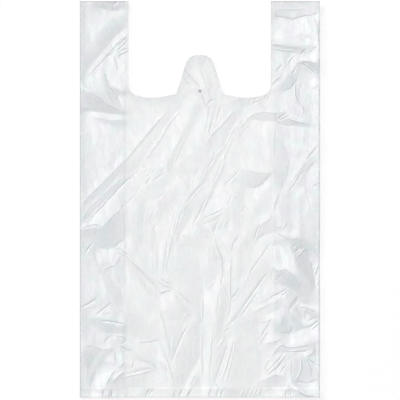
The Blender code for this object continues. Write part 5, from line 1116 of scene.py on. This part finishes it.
def facet_slopes():
    """How the film falls across and along on the grid of the height map, from the facets' tilts."""
    rows, columns = map_shape()
    across = np.zeros((rows, columns))
    along = np.zeros((rows, columns))
    lower_right = np.array((1, -1)) / math.sqrt(2)
    for tilt, fade, *corners in FACETS:
        path = point_rows(corners)
        low = np.maximum(np.floor((path.min(0) - MAP_LOW) / GRID).astype(int), 0)
        high = np.minimum(np.ceil((path.max(0) - MAP_LOW) / GRID).astype(int) + 1, (columns, rows))
        xs = MAP_LOW[0] + GRID * np.arange(low[0], high[0])
        ys = MAP_LOW[1] + GRID * np.arange(low[1], high[1])
        spots = np.stack(np.meshgrid(xs, ys), -1).reshape(-1, 2)
        inner = within(spots, path)
        centre = spots[inner].mean(0)
        spread, axes = np.linalg.eigh(np.cov((spots[inner] - centre).T))
        fall = axes[:, 0] * math.copysign(1, axes[:, 0] @ lower_right)
        aligned = fall @ lower_right
        fall *= math.copysign(1, tilt)
        seen = GLOSS_TILT + abs(tilt) * FACET_TILT
        if tilt > 0:
            toward = GLOSS_TILT * aligned
            degrees = math.sqrt(toward ** 2 + seen ** 2 - GLOSS_TILT ** 2) - toward
        else:
            degrees = abs(tilt) * GLOSS_TILT
        slope = math.tan(math.radians(degrees)) * (1 + math.sqrt(spread[0] / spread[1]))
        place = (spots - centre) @ fall / math.sqrt(3 * spread[0])
        weight = np.where(inner, slope * np.clip(1 + fade * place, 0, 2), 0).reshape(len(ys), len(xs))
        block = np.s_[low[1]:high[1], low[0]:high[0]]
        across[block] += weight * fall[0]
        along[block] += weight * fall[1]
    return across, along


def from_slopes(across, along):
    """The surface whose slopes come nearest to the wanted ones, level over long runs."""
    rows, columns = across.shape
    size = (rows + SPARE, columns + SPARE)
    turns_along = np.fft.fftfreq(size[0], GRID)[:, None] * math.tau
    turns_across = np.fft.rfftfreq(size[1], GRID)[None, :] * math.tau
    wanted = np.fft.rfft2(across, size) * turns_across + np.fft.rfft2(along, size) * turns_along
    power = turns_along ** 2 + turns_across ** 2 + (math.tau / LEVEL_RUN) ** 2
    return np.fft.irfft2(1j * wanted / power, size)[:rows, :columns]


def film_map():
    """The height map of the bag's front, and maps of the painted shade on the steep sides and the painted
    highlights on the lit sides of its fold lines.
    """
    heights, soft_map = crease_maps()
    heights = BASE_HEIGHT + BASE_SHARE * rounded_creases(heights, soft_map)
    heights += FACET_SHARE * from_slopes(*facet_slopes())
    shade, shine = np.zeros((2, *heights.shape))
    for strength, width, *points in FOLD_LINES:
        add_fold_line(heights, shade, shine, strength, width, point_rows(points))
    heights = blurred(heights, LINE_SOFTNESS)
    xs = MAP_LOW[0] + GRID * np.arange(heights.shape[1])
    ys = MAP_LOW[1] + GRID * np.arange(heights.shape[0])
    for marks in (shade, shine):
        marks[:, np.abs(xs) < INNER_FOLD] *= MIDDLE_SHARE
        marks[ys > MOUTH_FLOOR] *= HANDLE_SHARE
    to_side = np.clip((np.abs(xs) - SIDE + EVEN_RUN) / EVEN_RUN, 0, 1)
    heights += to_side * (blurred(heights, EVEN_RUN) - heights)
    chance = np.random.default_rng(WAVE_SEED)
    for amplitude, radius in WAVES:
        waves = blurred(chance.standard_normal(heights.shape), radius)
        heights += amplitude * waves / waves.std()
    over_left, over_right = np.minimum(xs + INNER_FOLD, 0), np.maximum(xs - INNER_FOLD, 0)
    heights += WING_SLOPES[0] * over_left + WING_SLOPES[1] * over_right
    spots = np.stack(np.meshgrid(xs, ys), -1).reshape(-1, 2)
    inner = within(spots, bag_corners()).reshape(heights.shape)
    heights += EDGE_LIFT * (1 - blurred(inner.astype(float), EDGE_RUN))
    return np.maximum(heights, LEAST_HEIGHT), shade, shine


def sampled(values, x, y):
    """Values of a map at points, straight between its grid points."""
    u = np.clip((x - MAP_LOW[0]) / GRID, 0, values.shape[1] - 1.001)
    v = np.clip((y - MAP_LOW[1]) / GRID, 0, values.shape[0] - 1.001)
    i, j = u.astype(int), v.astype(int)
    u, v = u - i, v - j
    near = values[j, i] * (1 - u) + values[j, i + 1] * u
    far = values[j + 1, i] * (1 - u) + values[j + 1, i + 1] * u
    return near * (1 - v) + far * v


def slack(x, y):
    """How far the front may lie above the back, which is nothing at a weld."""
    to_pin = np.hypot(x - PIN[0], y - PIN[1]) - PIN_RADIUS
    middle = (WELD_LOW + WELD_HIGH) / 2
    to_seal = np.minimum(np.minimum(np.abs(y - middle) - WELD_MARGIN, HANDLE_WELD - y), to_pin)
    share = np.clip(to_seal / SLACK_RUN, 0, 1)
    return SLACK * share * (2 - share)


def layer_heights(heights, calm, layer, x, y):
    """Height of one layer's film: back, gusset_back, gusset_front or front."""
    full = sampled(heights, x, y)
    lift = np.minimum(full, slack(x, y))
    below = lift
    if "gusset" in layer:
        share = np.clip((SIDE - np.abs(x)) / FOLD_RUN, 0, 1)
        lift = lift + share * (np.minimum(lift, sampled(calm, x, y)) - lift)
    from_fold = (np.abs(x) - INNER_FOLD) / (SIDE - INNER_FOLD)
    over_gusset = 1 + 2 * np.clip((np.abs(x) - INNER_FOLD) / GUSSET_STEP + 1, 0, 1)
    rank, share = {
        "back": (0, 0),
        "gusset_back": (1, 0.5 - 0.5 * from_fold),
        "gusset_front": (2, 0.5 + 0.5 * from_fold),
        "front": (over_gusset, 1),
    }[layer]
    return FILM / 2 + full - below + rank * PITCH + share * lift


# The film's outline and its mesh

def rounded(corners, step=1):
    """A path through corners given as (x, y, radius), each rounded as far as its sides allow."""
    path = [Vector(corners[0][:2])]
    for before, corner, after in zip(corners, corners[1:], corners[2:]):
        point = Vector(corner[:2])
        back = (Vector(before[:2]) - point).normalized()
        onward = (Vector(after[:2]) - point).normalized()
        turn = math.pi - back.angle(onward)
        shortest = min((Vector(end[:2]) - point).length for end in (before, after))
        radius = min(corner[2], ROUNDING_SHARE * shortest / math.tan(turn / 2))
        centre = point + (back + onward).normalized() * radius / math.cos(turn / 2)
        spoke = point + back * radius * math.tan(turn / 2) - centre
        side = 1 if (-back).cross(onward) > 0 else -1
        count = max(LEAST_PARTS, round(turn * radius / step))
        for k in range(count + 1):
            angle = turn * k / count
            c, s = math.cos(angle), side * math.sin(angle)
            path.append(centre + Vector((spoke.x * c - spoke.y * s, spoke.x * s + spoke.y * c)))
    path.append(Vector(corners[-1][:2]))
    return path


def stepped(path, step=LINE_STEP, closed=False):
    """The same path with points along its long runs."""
    ends = path[1:] + path[:1] if closed else path[1:]
    fine = [path[0]]
    for start, end in zip(path, ends):
        count = max(1, round((end - start).length / step))
        fine += [start.lerp(end, k / count) for k in range(1, count + 1)]
    return fine[:-1] if closed else fine


def bag_corners():
    """The corners and bends of the flat film's edge, anticlockwise from the bottom left corner."""
    half = [
        (MOUTH_EDGE, LENGTH, 0),
        (MOUTH_EDGE, TAB_FOOT_LINE, MOUTH_CORNER),
        ((MOUTH_EDGE + TAB_FOOT / 2) / 2, MOUTH_FLOOR, MOUTH_CURVE),
        (TAB_FOOT / 2, TAB_FOOT_LINE, TAB_FILLET),
        (TAB_TOP / 2, TAB_FOOT_LINE + TAB_HEIGHT, TAB_ROUNDING),
    ]
    mouth = rounded(half + [(-x, y, radius) for x, y, radius in reversed(half)])
    return [
        Vector((-SIDE, 0)), Vector((-INNER_FOLD, 0)), Vector((INNER_FOLD, 0)), Vector((SIDE, 0)),
        Vector((SIDE, LENGTH)), Vector((INNER_FOLD, LENGTH)),
        *mouth,
        Vector((-INNER_FOLD, LENGTH)), Vector((-SIDE, LENGTH)),
    ]


def bag_outline():
    """The flat film's edge with points all along it."""
    return stepped(bag_corners(), closed=True)


def cut_area(outline):
    """Area in square metres of the flat tube: front, back and the four panels of the two gussets."""
    twice = sum(a.x * b.y - b.x * a.y for a, b in zip(outline, outline[1:] + outline[:1]))
    return (twice + 4 * (SIDE - INNER_FOLD) * LENGTH) * MM ** 2


def within(points, outline):
    """Which points lie inside a closed outline."""
    odd = np.zeros(len(points), bool)
    x, y = points[:, 0], points[:, 1]
    edge = np.array([tuple(p) for p in outline])
    for (ax, ay), (bx, by) in zip(edge, np.roll(edge, -1, axis=0)):
        if ay == by:
            continue
        spans = (ay > y) != (by > y)
        odd ^= spans & (x < ax + (y - ay) * (bx - ax) / (by - ay))
    return odd


def film_pattern(outline, fill, creased):
    """A pattern of triangles inside the outline, with points on every edge and line of the film."""
    points = []
    lines = []

    def add_line(path, closed=False):
        first = len(points)
        points.extend(path)
        lines.extend((i, i + 1) for i in range(first, len(points) - 1))
        if closed:
            lines.append((len(points) - 1, first))

    add_line(outline, closed=True)
    # rows of points along the bands of painted shade at the edges and the mouth
    for inside in (EDGE_BAND / 2, EDGE_BAND, MOUTH_BAND / 2, MOUTH_BAND):
        add_line([Vector(point) for point in offset_path(outline, -inside)], closed=True)
    for x in (-INNER_FOLD, INNER_FOLD):
        add_line(stepped([Vector((x, 0)), Vector((x, LENGTH))]))
    for y in (WELD_LOW, WELD_HIGH):
        add_line(stepped([Vector((-SIDE, y)), Vector((SIDE, y))]))
    for side in (-1, 1):
        add_line(stepped([Vector((side * x, HANDLE_WELD)) for x in (SIDE, MOUTH_EDGE)]))
    turns = [math.tau * k / PIN_SIDES for k in range(PIN_SIDES)]
    ring = [Vector(PIN) + Vector((math.cos(turn), math.sin(turn))) * PIN_RADIUS for turn in turns]
    add_line(ring, closed=True)
    if creased:
        for _, _, *corners in FACETS:
            add_line(stepped([Vector(point) for point in point_rows(corners)], closed=True), closed=True)
        for strength, width, *numbers in FOLD_LINES:
            path = point_rows(numbers)
            _, lit, dark = line_profile(strength, width)
            for distance in (0, math.copysign(dark, strength), -math.copysign(lit, strength)):
                add_line(stepped([Vector(point) for point in offset_path(path, distance)]))
    rows = round(LENGTH / (fill * ROW_SHARE))
    grid = []
    reach = SIDE - fill / 2
    for j in range(1, rows):
        y = LENGTH * j / rows
        shift = fill / 2 * (j % 2)
        grid += [(x + shift, y) for x in np.arange(-reach, reach - shift, fill)]
    grid = np.array(grid)
    points += [Vector(point) for point in grid[within(grid, outline)]]
    spots, _, faces, _, _, _ = delaunay_2d_cdt(points, lines, [], 0, NEARLY)
    flat = np.array([tuple(spot) for spot in spots])
    faces = np.array([face for face in faces if len(face) == 3])
    return flat, faces[within(flat[faces].mean(1), outline)]


def fold_strip(upper, lower, bulge, vertices):
    """Faces of the bend that joins two layers along a fold, with a middle row that stands out by bulge."""
    middle = []
    for i, j in zip(upper, lower):
        a, b = vertices[i], vertices[j]
        middle.append(len(vertices))
        vertices.append(((a[0] + b[0]) / 2 + bulge, (a[1] + b[1]) / 2, (a[2] + b[2]) / 2))
    faces = []
    for k in range(len(middle) - 1):
        faces += [
            (upper[k], middle[k], middle[k + 1], upper[k + 1]),
            (middle[k], lower[k], lower[k + 1], middle[k + 1]),
        ]
    return faces


def film_mesh():
    """The folded tube of film with its creases, welds and pin spot."""
    heights, shade, shine = film_map()
    calm = blurred(heights, CALM)
    outline = bag_outline()
    fine = film_pattern(outline, FRONT_FILL, True)
    plain = film_pattern(outline, BACK_FILL, False)
    vertices = []
    polygons = []
    finishes = []
    marks = []
    folds = {}
    for layer in ("front", "gusset_front", "gusset_back", "back"):
        flat, faces = fine if layer == "front" else plain
        x, y = flat[:, 0], flat[:, 1]
        centres = flat[faces].mean(1)
        if "gusset" in layer:
            faces = faces[np.abs(centres[:, 0]) > INNER_FOLD]
            centres = flat[faces].mean(1)
        used = np.unique(faces)
        z = layer_heights(heights, calm, layer, x, y)
        order = np.zeros(len(flat), int)
        order[used] = np.arange(len(vertices), len(vertices) + len(used))
        vertices += [(float(x[i]), float(y[i]), float(z[i])) for i in used]
        polygons += [tuple(face) for face in order[faces].tolist()]
        in_weld = (centres[:, 1] > WELD_LOW) & (centres[:, 1] < WELD_HIGH)
        in_pin = np.hypot(centres[:, 0] - PIN[0], centres[:, 1] - PIN[1]) < PIN_RADIUS
        in_weld |= centres[:, 1] > HANDLE_WELD
        if layer == "front":
            # painted shade and painted highlights of the fold lines, sampled for the front's faces
            marks = [sampled(values, centres[:, 0], centres[:, 1]) for values in (shade, shine)]
        plain_finish = {"front": 0, "back": 3}.get(layer, 4)
        finishes += np.where(in_pin, 2, np.where(in_weld, 1, plain_finish)).tolist()
        for side in (-1, 1):
            for at in (SIDE, INNER_FOLD):
                run = used[np.abs(x[used] - side * at) < 10 * NEARLY]
                folds[layer, side, at] = order[run[np.argsort(y[run])]].tolist()
    for side in (-1, 1):
        for upper, lower, at, bulge in (
            ("front", "gusset_front", SIDE, HALF_WIDTH - SIDE),
            ("gusset_front", "gusset_back", INNER_FOLD, -INNER_BULGE),
            ("gusset_back", "back", SIDE, HALF_WIDTH - SIDE),
        ):
            strip = fold_strip(folds[upper, side, at], folds[lower, side, at], side * bulge, vertices)
            polygons += strip
            finishes += [4] * len(strip)
    mesh = bpy.data.meshes.new("bag_film")
    mesh.from_pydata([bag_point(*vertex) for vertex in vertices], [], polygons)
    mesh.polygons.foreach_set("material_index", finishes)
    bm = bmesh.new()
    bm.from_mesh(mesh)
    bmesh.ops.recalc_face_normals(bm, faces=bm.faces)
    for face in bm.faces:
        face.smooth = True
    bm.to_mesh(mesh)
    bm.free()
    points = np.array(vertices)[:, :2]
    frame_edge = np.array([(-SIDE, LENGTH), (-SIDE, 0), (SIDE, 0), (SIDE, LENGTH)])
    mouth_edge = np.array([tuple(p) for p in outline if abs(p.x) < MOUTH_EDGE + NEARLY and p.y > WELD_HIGH])
    to_fold = np.minimum(to_path(points, frame_edge), np.abs(LENGTH - points[:, 1]))
    # near_edge and near_mouth carry the painted shade along the folds, the welds and the mouth
    values = {
        "near_edge": ("POINT", np.clip(1 - to_fold / EDGE_BAND, 0, 1)),
        "near_mouth": ("POINT", np.clip(1 - to_path(points, mouth_edge) / MOUTH_BAND, 0, 1)),
    }
    # the fold lines' painted shade and painted highlights, stored as face attributes
    for name, on_front in zip(("crease_shade", "crease_painted_highlight"), marks):
        values[name] = ("FACE", np.pad(on_front, (0, len(polygons) - len(on_front))))
    for name, (domain, found) in values.items():
        mesh.attributes.new(name, "FLOAT", domain).data.foreach_set("value", found)
    return mesh


def to_path(points, path):
    """How far each point lies from a path."""
    nearest = np.full(len(points), FAR)
    for start, end in zip(path, path[1:]):
        way = end - start
        t = np.clip(((points - start) @ way) / (way @ way), 0, 1)
        away = np.hypot(*(points - start - t[:, None] * way).T)
        nearest = np.minimum(nearest, away)
    return nearest


# Finishes

def node(tree, kind, place, **values):
    """A new node of a tree with its plain values set."""
    made = tree.nodes.new(kind)
    made.location = place
    for name, value in values.items():
        setattr(made, name, value)
    return made


def new_group(name, inputs, outputs):
    """An empty node group with its sockets, its input node and its output node."""
    group = bpy.data.node_groups.new(name, "ShaderNodeTree")
    for label, kind, value in inputs:
        socket = group.interface.new_socket(label, in_out="INPUT", socket_type=kind)
        socket.default_value = value
    for label, kind in outputs:
        group.interface.new_socket(label, in_out="OUTPUT", socket_type=kind)
    return group, node(group, "NodeGroupInput", (-1200, 0)), node(group, "NodeGroupOutput", (900, 0))


def patch_mask(group, size, seed, edges):
    """Nodes for irregular patches of a size, with soft edges between the two given levels."""
    row = 300 + seed * 40
    place = node(group, "ShaderNodeTexCoord", (-1200, row))
    shift = node(group, "ShaderNodeVectorMath", (-1000, row), operation="ADD")
    shift.inputs[1].default_value = (seed * 0.71, seed * 0.37, 0)
    noise = node(group, "ShaderNodeTexNoise", (-800, row))
    noise.inputs["Scale"].default_value = 1 / (size * MM)
    noise.inputs["Detail"].default_value = 1.5
    level = node(group, "ShaderNodeMapRange", (-600, row), interpolation_type="SMOOTHSTEP")
    level.inputs["From Min"].default_value, level.inputs["From Max"].default_value = edges
    group.links.new(place.outputs["Object"], shift.inputs[0])
    group.links.new(shift.outputs[0], noise.inputs["Vector"])
    group.links.new(noise.outputs["Fac"], level.inputs["Value"])
    return level.outputs["Result"]


def mixed(group, place, factor, low, high):
    """A colour between two, each of them a socket or a plain colour."""
    mix = node(group, "ShaderNodeMix", place, data_type="RGBA")
    for name, value in (("Factor", factor), ("A", low), ("B", high)):
        if isinstance(value, bpy.types.NodeSocket):
            group.links.new(value, mix.inputs[name])
        else:
            mix.inputs[name].default_value = value if name == "Factor" else (*value, 1)
    return mix.outputs["Result"]


def make_tint_group():
    """The film's colour: it drifts to sea green and lilac in patches, and takes painted shade at folds, edges
    and the mouth and on the steep sides of fold lines, and painted highlights on their lit sides.
    """
    group, inputs, outputs = new_group("film_tint_and_painted_light", (
        ("Film Color", "NodeSocketColor", (0.8, 0.8, 0.8, 1)),
        ("Green Color", "NodeSocketColor", (0.8, 0.8, 0.8, 1)),
        ("Lilac Color", "NodeSocketColor", (0.8, 0.8, 0.8, 1)),
        ("Painted Shade Color", "NodeSocketColor", (0.5, 0.5, 0.5, 1)),
        ("Edge Depth", "NodeSocketFloat", 0.5),
        ("Mouth Depth", "NodeSocketFloat", 0.3),
        ("Painted Highlight Color", "NodeSocketColor", (1, 1, 1, 1)),
        ("Shade Depth", "NodeSocketFloat", 0.5),
        ("Painted Highlight Depth", "NodeSocketFloat", 0.5),
    ), (("Color", "NodeSocketColor"),))
    colour = inputs.outputs["Film Color"]
    for x, patches, towards in ((-300, GREEN_PATCHES, "Green Color"), (-100, LILAC_PATCHES, "Lilac Color")):
        colour = mixed(group, (x, 200), patch_mask(group, *patches), colour, inputs.outputs[towards])
    # painted highlights on the fold lines' lit sides, and painted shade on their steep sides, along the folds
    # and welds and along the mouth
    for name, depth, towards, power, y in (
        ("crease_painted_highlight", "Painted Highlight Depth", "Painted Highlight Color", 1, 0),
        ("crease_shade", "Shade Depth", "Painted Shade Color", 1, -200),
        ("near_edge", "Edge Depth", "Painted Shade Color", BAND_FALL, -400),
        ("near_mouth", "Mouth Depth", "Painted Shade Color", BAND_FALL, -600),
    ):
        near = node(group, "ShaderNodeAttribute", (-600, y), attribute_name=name)
        fall = node(group, "ShaderNodeMath", (-400, y), operation="POWER")
        fall.inputs[1].default_value = power
        scaled = node(group, "ShaderNodeMath", (-200, y), operation="MULTIPLY")
        group.links.new(near.outputs["Fac"], fall.inputs[0])
        group.links.new(fall.outputs[0], scaled.inputs[0])
        group.links.new(inputs.outputs[depth], scaled.inputs[1])
        colour = mixed(group, (100, y), scaled.outputs[0], colour, inputs.outputs[towards])
    group.links.new(colour, outputs.inputs["Color"])
    return group


def make_grain_group():
    """Fine crinkles of used film, drawn out along the way that it left the machine."""
    group, inputs, outputs = new_group("film_grain", (
        ("Crinkle Depth", "NodeSocketFloat", 1.0),
        ("Low Roughness", "NodeSocketFloat", 0.25),
        ("High Roughness", "NodeSocketFloat", 0.35),
    ), (("Height", "NodeSocketFloat"), ("Roughness", "NodeSocketFloat")))
    place = node(group, "ShaderNodeTexCoord", (-1000, 0))
    total = None
    for k, (size, stretch, turn, depth) in enumerate(CRINKLES):
        mapping = node(group, "ShaderNodeMapping", (-800, -250 * k))
        mapping.inputs["Rotation"].default_value = (0, 0, turn)
        mapping.inputs["Scale"].default_value = (1, stretch, 1)
        noise = node(group, "ShaderNodeTexNoise", (-600, -250 * k))
        noise.inputs["Scale"].default_value = 1 / (size * MM)
        noise.inputs["Detail"].default_value = 0
        scaled = node(group, "ShaderNodeMath", (-400, -250 * k), operation="MULTIPLY")
        scaled.inputs[1].default_value = depth
        group.links.new(place.outputs["Object"], mapping.inputs["Vector"])
        group.links.new(mapping.outputs["Vector"], noise.inputs["Vector"])
        group.links.new(noise.outputs["Fac"], scaled.inputs[0])
        if total:
            both = node(group, "ShaderNodeMath", (-200, -250 * k), operation="ADD")
            group.links.new(total, both.inputs[0])
            group.links.new(scaled.outputs[0], both.inputs[1])
            total = both.outputs[0]
        else:
            total = scaled.outputs[0]
            fine = noise.outputs["Fac"]
    height = node(group, "ShaderNodeMath", (200, 0), operation="MULTIPLY")
    group.links.new(total, height.inputs[0])
    group.links.new(inputs.outputs["Crinkle Depth"], height.inputs[1])
    group.links.new(height.outputs[0], outputs.inputs["Height"])
    gloss = node(group, "ShaderNodeMapRange", (200, -300))
    gloss.inputs["From Min"].default_value = 0.3
    gloss.inputs["From Max"].default_value = 0.7
    group.links.new(fine, gloss.inputs["Value"])
    group.links.new(inputs.outputs["Low Roughness"], gloss.inputs["To Min"])
    group.links.new(inputs.outputs["High Roughness"], gloss.inputs["To Max"])
    group.links.new(gloss.outputs["Result"], outputs.inputs["Roughness"])
    return group


def film_material(name, colour, alpha, roughness, depth, edge_depth, mouth_depth):
    """Thin milky film, half see-through, with a soft gloss. It lets light on to the floor."""
    material = bpy.data.materials.new(name)
    material.use_nodes = True
    tree = material.node_tree
    shader = tree.nodes["Principled BSDF"]
    shader.inputs["Specular IOR Level"].default_value = SURFACE_SHINE
    shader.inputs["Alpha"].default_value = alpha
    tint_and_light = node(tree, "ShaderNodeGroup", (-300, 100), node_tree=bpy.data.node_groups["film_tint_and_painted_light"])
    for name, change in (("Film Color", (1, 1, 1)), ("Green Color", GREEN), ("Lilac Color", LILAC)):
        tint_and_light.inputs[name].default_value = (*(value * part for value, part in zip(colour, change)), 1)
    # settings of the painted shade and the painted highlights
    tint_and_light.inputs["Painted Shade Color"].default_value = (*PAINTED_SHADE_TONE, 1)
    tint_and_light.inputs["Edge Depth"].default_value = edge_depth
    tint_and_light.inputs["Mouth Depth"].default_value = mouth_depth
    tint_and_light.inputs["Shade Depth"].default_value = SHADE_DEPTH
    tint_and_light.inputs["Painted Highlight Depth"].default_value = PAINTED_HIGHLIGHT_DEPTH
    tree.links.new(tint_and_light.outputs["Color"], shader.inputs["Base Color"])
    grain = node(tree, "ShaderNodeGroup", (-500, -200), node_tree=bpy.data.node_groups["film_grain"])
    grain.inputs["Crinkle Depth"].default_value = depth
    grain.inputs["Low Roughness"].default_value = roughness[0]
    grain.inputs["High Roughness"].default_value = roughness[1]
    bump = node(tree, "ShaderNodeBump", (-250, -300))
    bump.inputs["Distance"].default_value = CRINKLE_HEIGHT * MM
    tree.links.new(grain.outputs["Height"], bump.inputs["Height"])
    tree.links.new(grain.outputs["Roughness"], shader.inputs["Roughness"])
    tree.links.new(bump.outputs["Normal"], shader.inputs["Normal"])
    rays = node(tree, "ShaderNodeLightPath", (-100, 300))
    facing = node(tree, "ShaderNodeLayerWeight", (-500, -500))
    facing.inputs["Blend"].default_value = 0.5
    slant = node(tree, "ShaderNodeMapRange", (-300, -500))
    slant.inputs["From Min"].default_value = SLANT_FROM
    slant.inputs["From Max"].default_value = SLANT_TO
    tree.links.new(facing.outputs["Facing"], slant.inputs["Value"])
    passed = node(tree, "ShaderNodeBsdfTransparent", (100, -400))
    through = mixed(tree, (-100, -500), slant.outputs["Result"], PASSES, PASSES_SLANTING)
    tree.links.new(through, passed.inputs["Color"])
    mix = node(tree, "ShaderNodeMixShader", (500, 100))
    tree.links.new(rays.outputs["Is Shadow Ray"], mix.inputs["Fac"])
    tree.links.new(shader.outputs[0], mix.inputs[1])
    tree.links.new(passed.outputs[0], mix.inputs[2])
    tree.links.new(mix.outputs[0], tree.nodes["Material Output"].inputs["Surface"])
    return material


# Floor, light and camera

def seen_rays(tree):
    """Nodes that are 1 for the rays that show the background: camera, glossy and transmission rays."""
    rays = node(tree, "ShaderNodeLightPath", (-600, 200))
    seen = rays.outputs["Is Camera Ray"]
    for k, name in enumerate(("Is Glossy Ray", "Is Transmission Ray")):
        both = node(tree, "ShaderNodeMath", (-400 + 200 * k, 200), operation="MAXIMUM")
        tree.links.new(seen, both.inputs[0])
        tree.links.new(rays.outputs[name], both.inputs[1])
        seen = both.outputs[0]
    return seen


def floor_material():
    """A plain pale surface that the camera sees as white, with the bag's shadow on it."""
    material = bpy.data.materials.new("pale_surface")
    material.use_nodes = True
    tree = material.node_tree
    tree.nodes.clear()
    output = node(tree, "ShaderNodeOutputMaterial", (600, 0))
    both = node(tree, "ShaderNodeAddShader", (400, 0))
    lit = node(tree, "ShaderNodeBsdfDiffuse", (200, -120))
    lit.inputs["Color"].default_value = (*FLOOR_TONE, 1)
    glow = node(tree, "ShaderNodeEmission", (200, 120))
    glow.inputs["Color"].default_value = (1, 1, 1, 1)
    share = node(tree, "ShaderNodeMath", (80, 200), operation="MULTIPLY")
    share.inputs[1].default_value = FLOOR_GLOW
    tree.links.new(seen_rays(tree), share.inputs[0])
    tree.links.new(share.outputs[0], glow.inputs["Strength"])
    tree.links.new(lit.outputs[0], both.inputs[0])
    tree.links.new(glow.outputs[0], both.inputs[1])
    tree.links.new(both.outputs[0], output.inputs["Surface"])
    return material


def make_floor():
    """The pale surface under the bag."""
    mesh = bpy.data.meshes.new("floor")
    quarters = ((-1, -1), (1, -1), (1, 1), (-1, 1))
    corners = [(x * FLOOR_REACH, y * FLOOR_REACH, -FLOOR_DROP) for x, y in quarters]
    mesh.from_pydata(corners, [], [(0, 1, 2, 3)])
    floor = bpy.data.objects.new("floor", mesh)
    bpy.context.scene.collection.objects.link(floor)
    mesh.materials.append(floor_material())


def make_world(strength, colour):
    """Even studio light from all round, white where the camera sees it."""
    world = bpy.data.worlds.new("studio")
    bpy.context.scene.world = world
    world.use_nodes = True
    tree = world.node_tree
    background = tree.nodes["Background"]
    background.inputs["Color"].default_value = (*colour, 1)
    mix = node(tree, "ShaderNodeMix", (0, 0), data_type="FLOAT")
    mix.inputs["A"].default_value = strength
    mix.inputs["B"].default_value = 1
    tree.links.new(seen_rays(tree), mix.inputs["Factor"])
    tree.links.new(mix.outputs["Result"], background.inputs["Strength"])


def make_light(name, place, size, power, colour):
    """A square soft light that looks at the bag."""
    data = bpy.data.lights.new(name, "AREA")
    data.size = size
    data.energy = power
    data.color = colour
    light = bpy.data.objects.new(name, data)
    light.location = place
    light.visible_camera = False
    light.rotation_euler = (-Vector(place)).to_track_quat("-Z", "Y").to_euler()
    bpy.context.scene.collection.objects.link(light)


def make_camera():
    """A long lens straight above the bag."""
    data = bpy.data.cameras.new("camera")
    data.sensor_width = SENSOR
    data.lens = SENSOR * CAMERA_HEIGHT / PICTURE_WIDTH
    data.clip_end = CLIP_END
    camera = bpy.data.objects.new("camera", data)
    camera.location = (*CAMERA_SHIFT, CAMERA_HEIGHT)
    bpy.context.scene.collection.objects.link(camera)
    bpy.context.scene.camera = camera


# The dressed bag. A finish is its name, colour, alpha, range of roughness, crinkle depth, and how
# much painted shade darkens it at the edges and at the mouth.
film = bpy.data.objects.new("bag_film", film_mesh())
bpy.context.scene.collection.objects.link(film)
make_tint_group()
make_grain_group()
for finish in (
    ("milky_film", (0.702, 0.704, 0.714), 0.46, (0.26, 0.34), 0.03, 0.68, 0.16),
    ("welded_film", (0.84, 0.84, 0.85), 0.5, (0.2, 0.3), 0.4, 0.8, 0.1),
    ("pin_weld", (0.3, 0.3, 0.31), 0.85, (0.28, 0.36), 0.5, 0, 0),
    # back_film and gusset_film are the same film as milky_film, given a lighter colour as painted light that
    # makes up for the light which the layers above them hold back
    ("back_film", (0.865, 0.89, 0.9), 0.32, (0.3, 0.38), 0.08, 0.5, 0.4),
    ("gusset_film", (0.95, 0.985, 1.0), 0.3, (0.3, 0.38), 0.08, 0.3, 0.2),
):
    film.data.materials.append(film_material(*finish))
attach(film, "root")
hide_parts("carrier_bag")
cut_area(bag_outline())

make_floor()
make_world(0.42, (0.92, 0.962, 1.0))
make_light("key_light", (-15.12, 15.12, 10.89), 7.5, 3020, (1, 0.99, 0.98))
make_light("gloss_light", (-2.24, 2.24, 18), 5.7, 890, (1, 0.965, 0.93))
make_camera()
bpy.context.scene.view_settings.view_transform = "Standard"
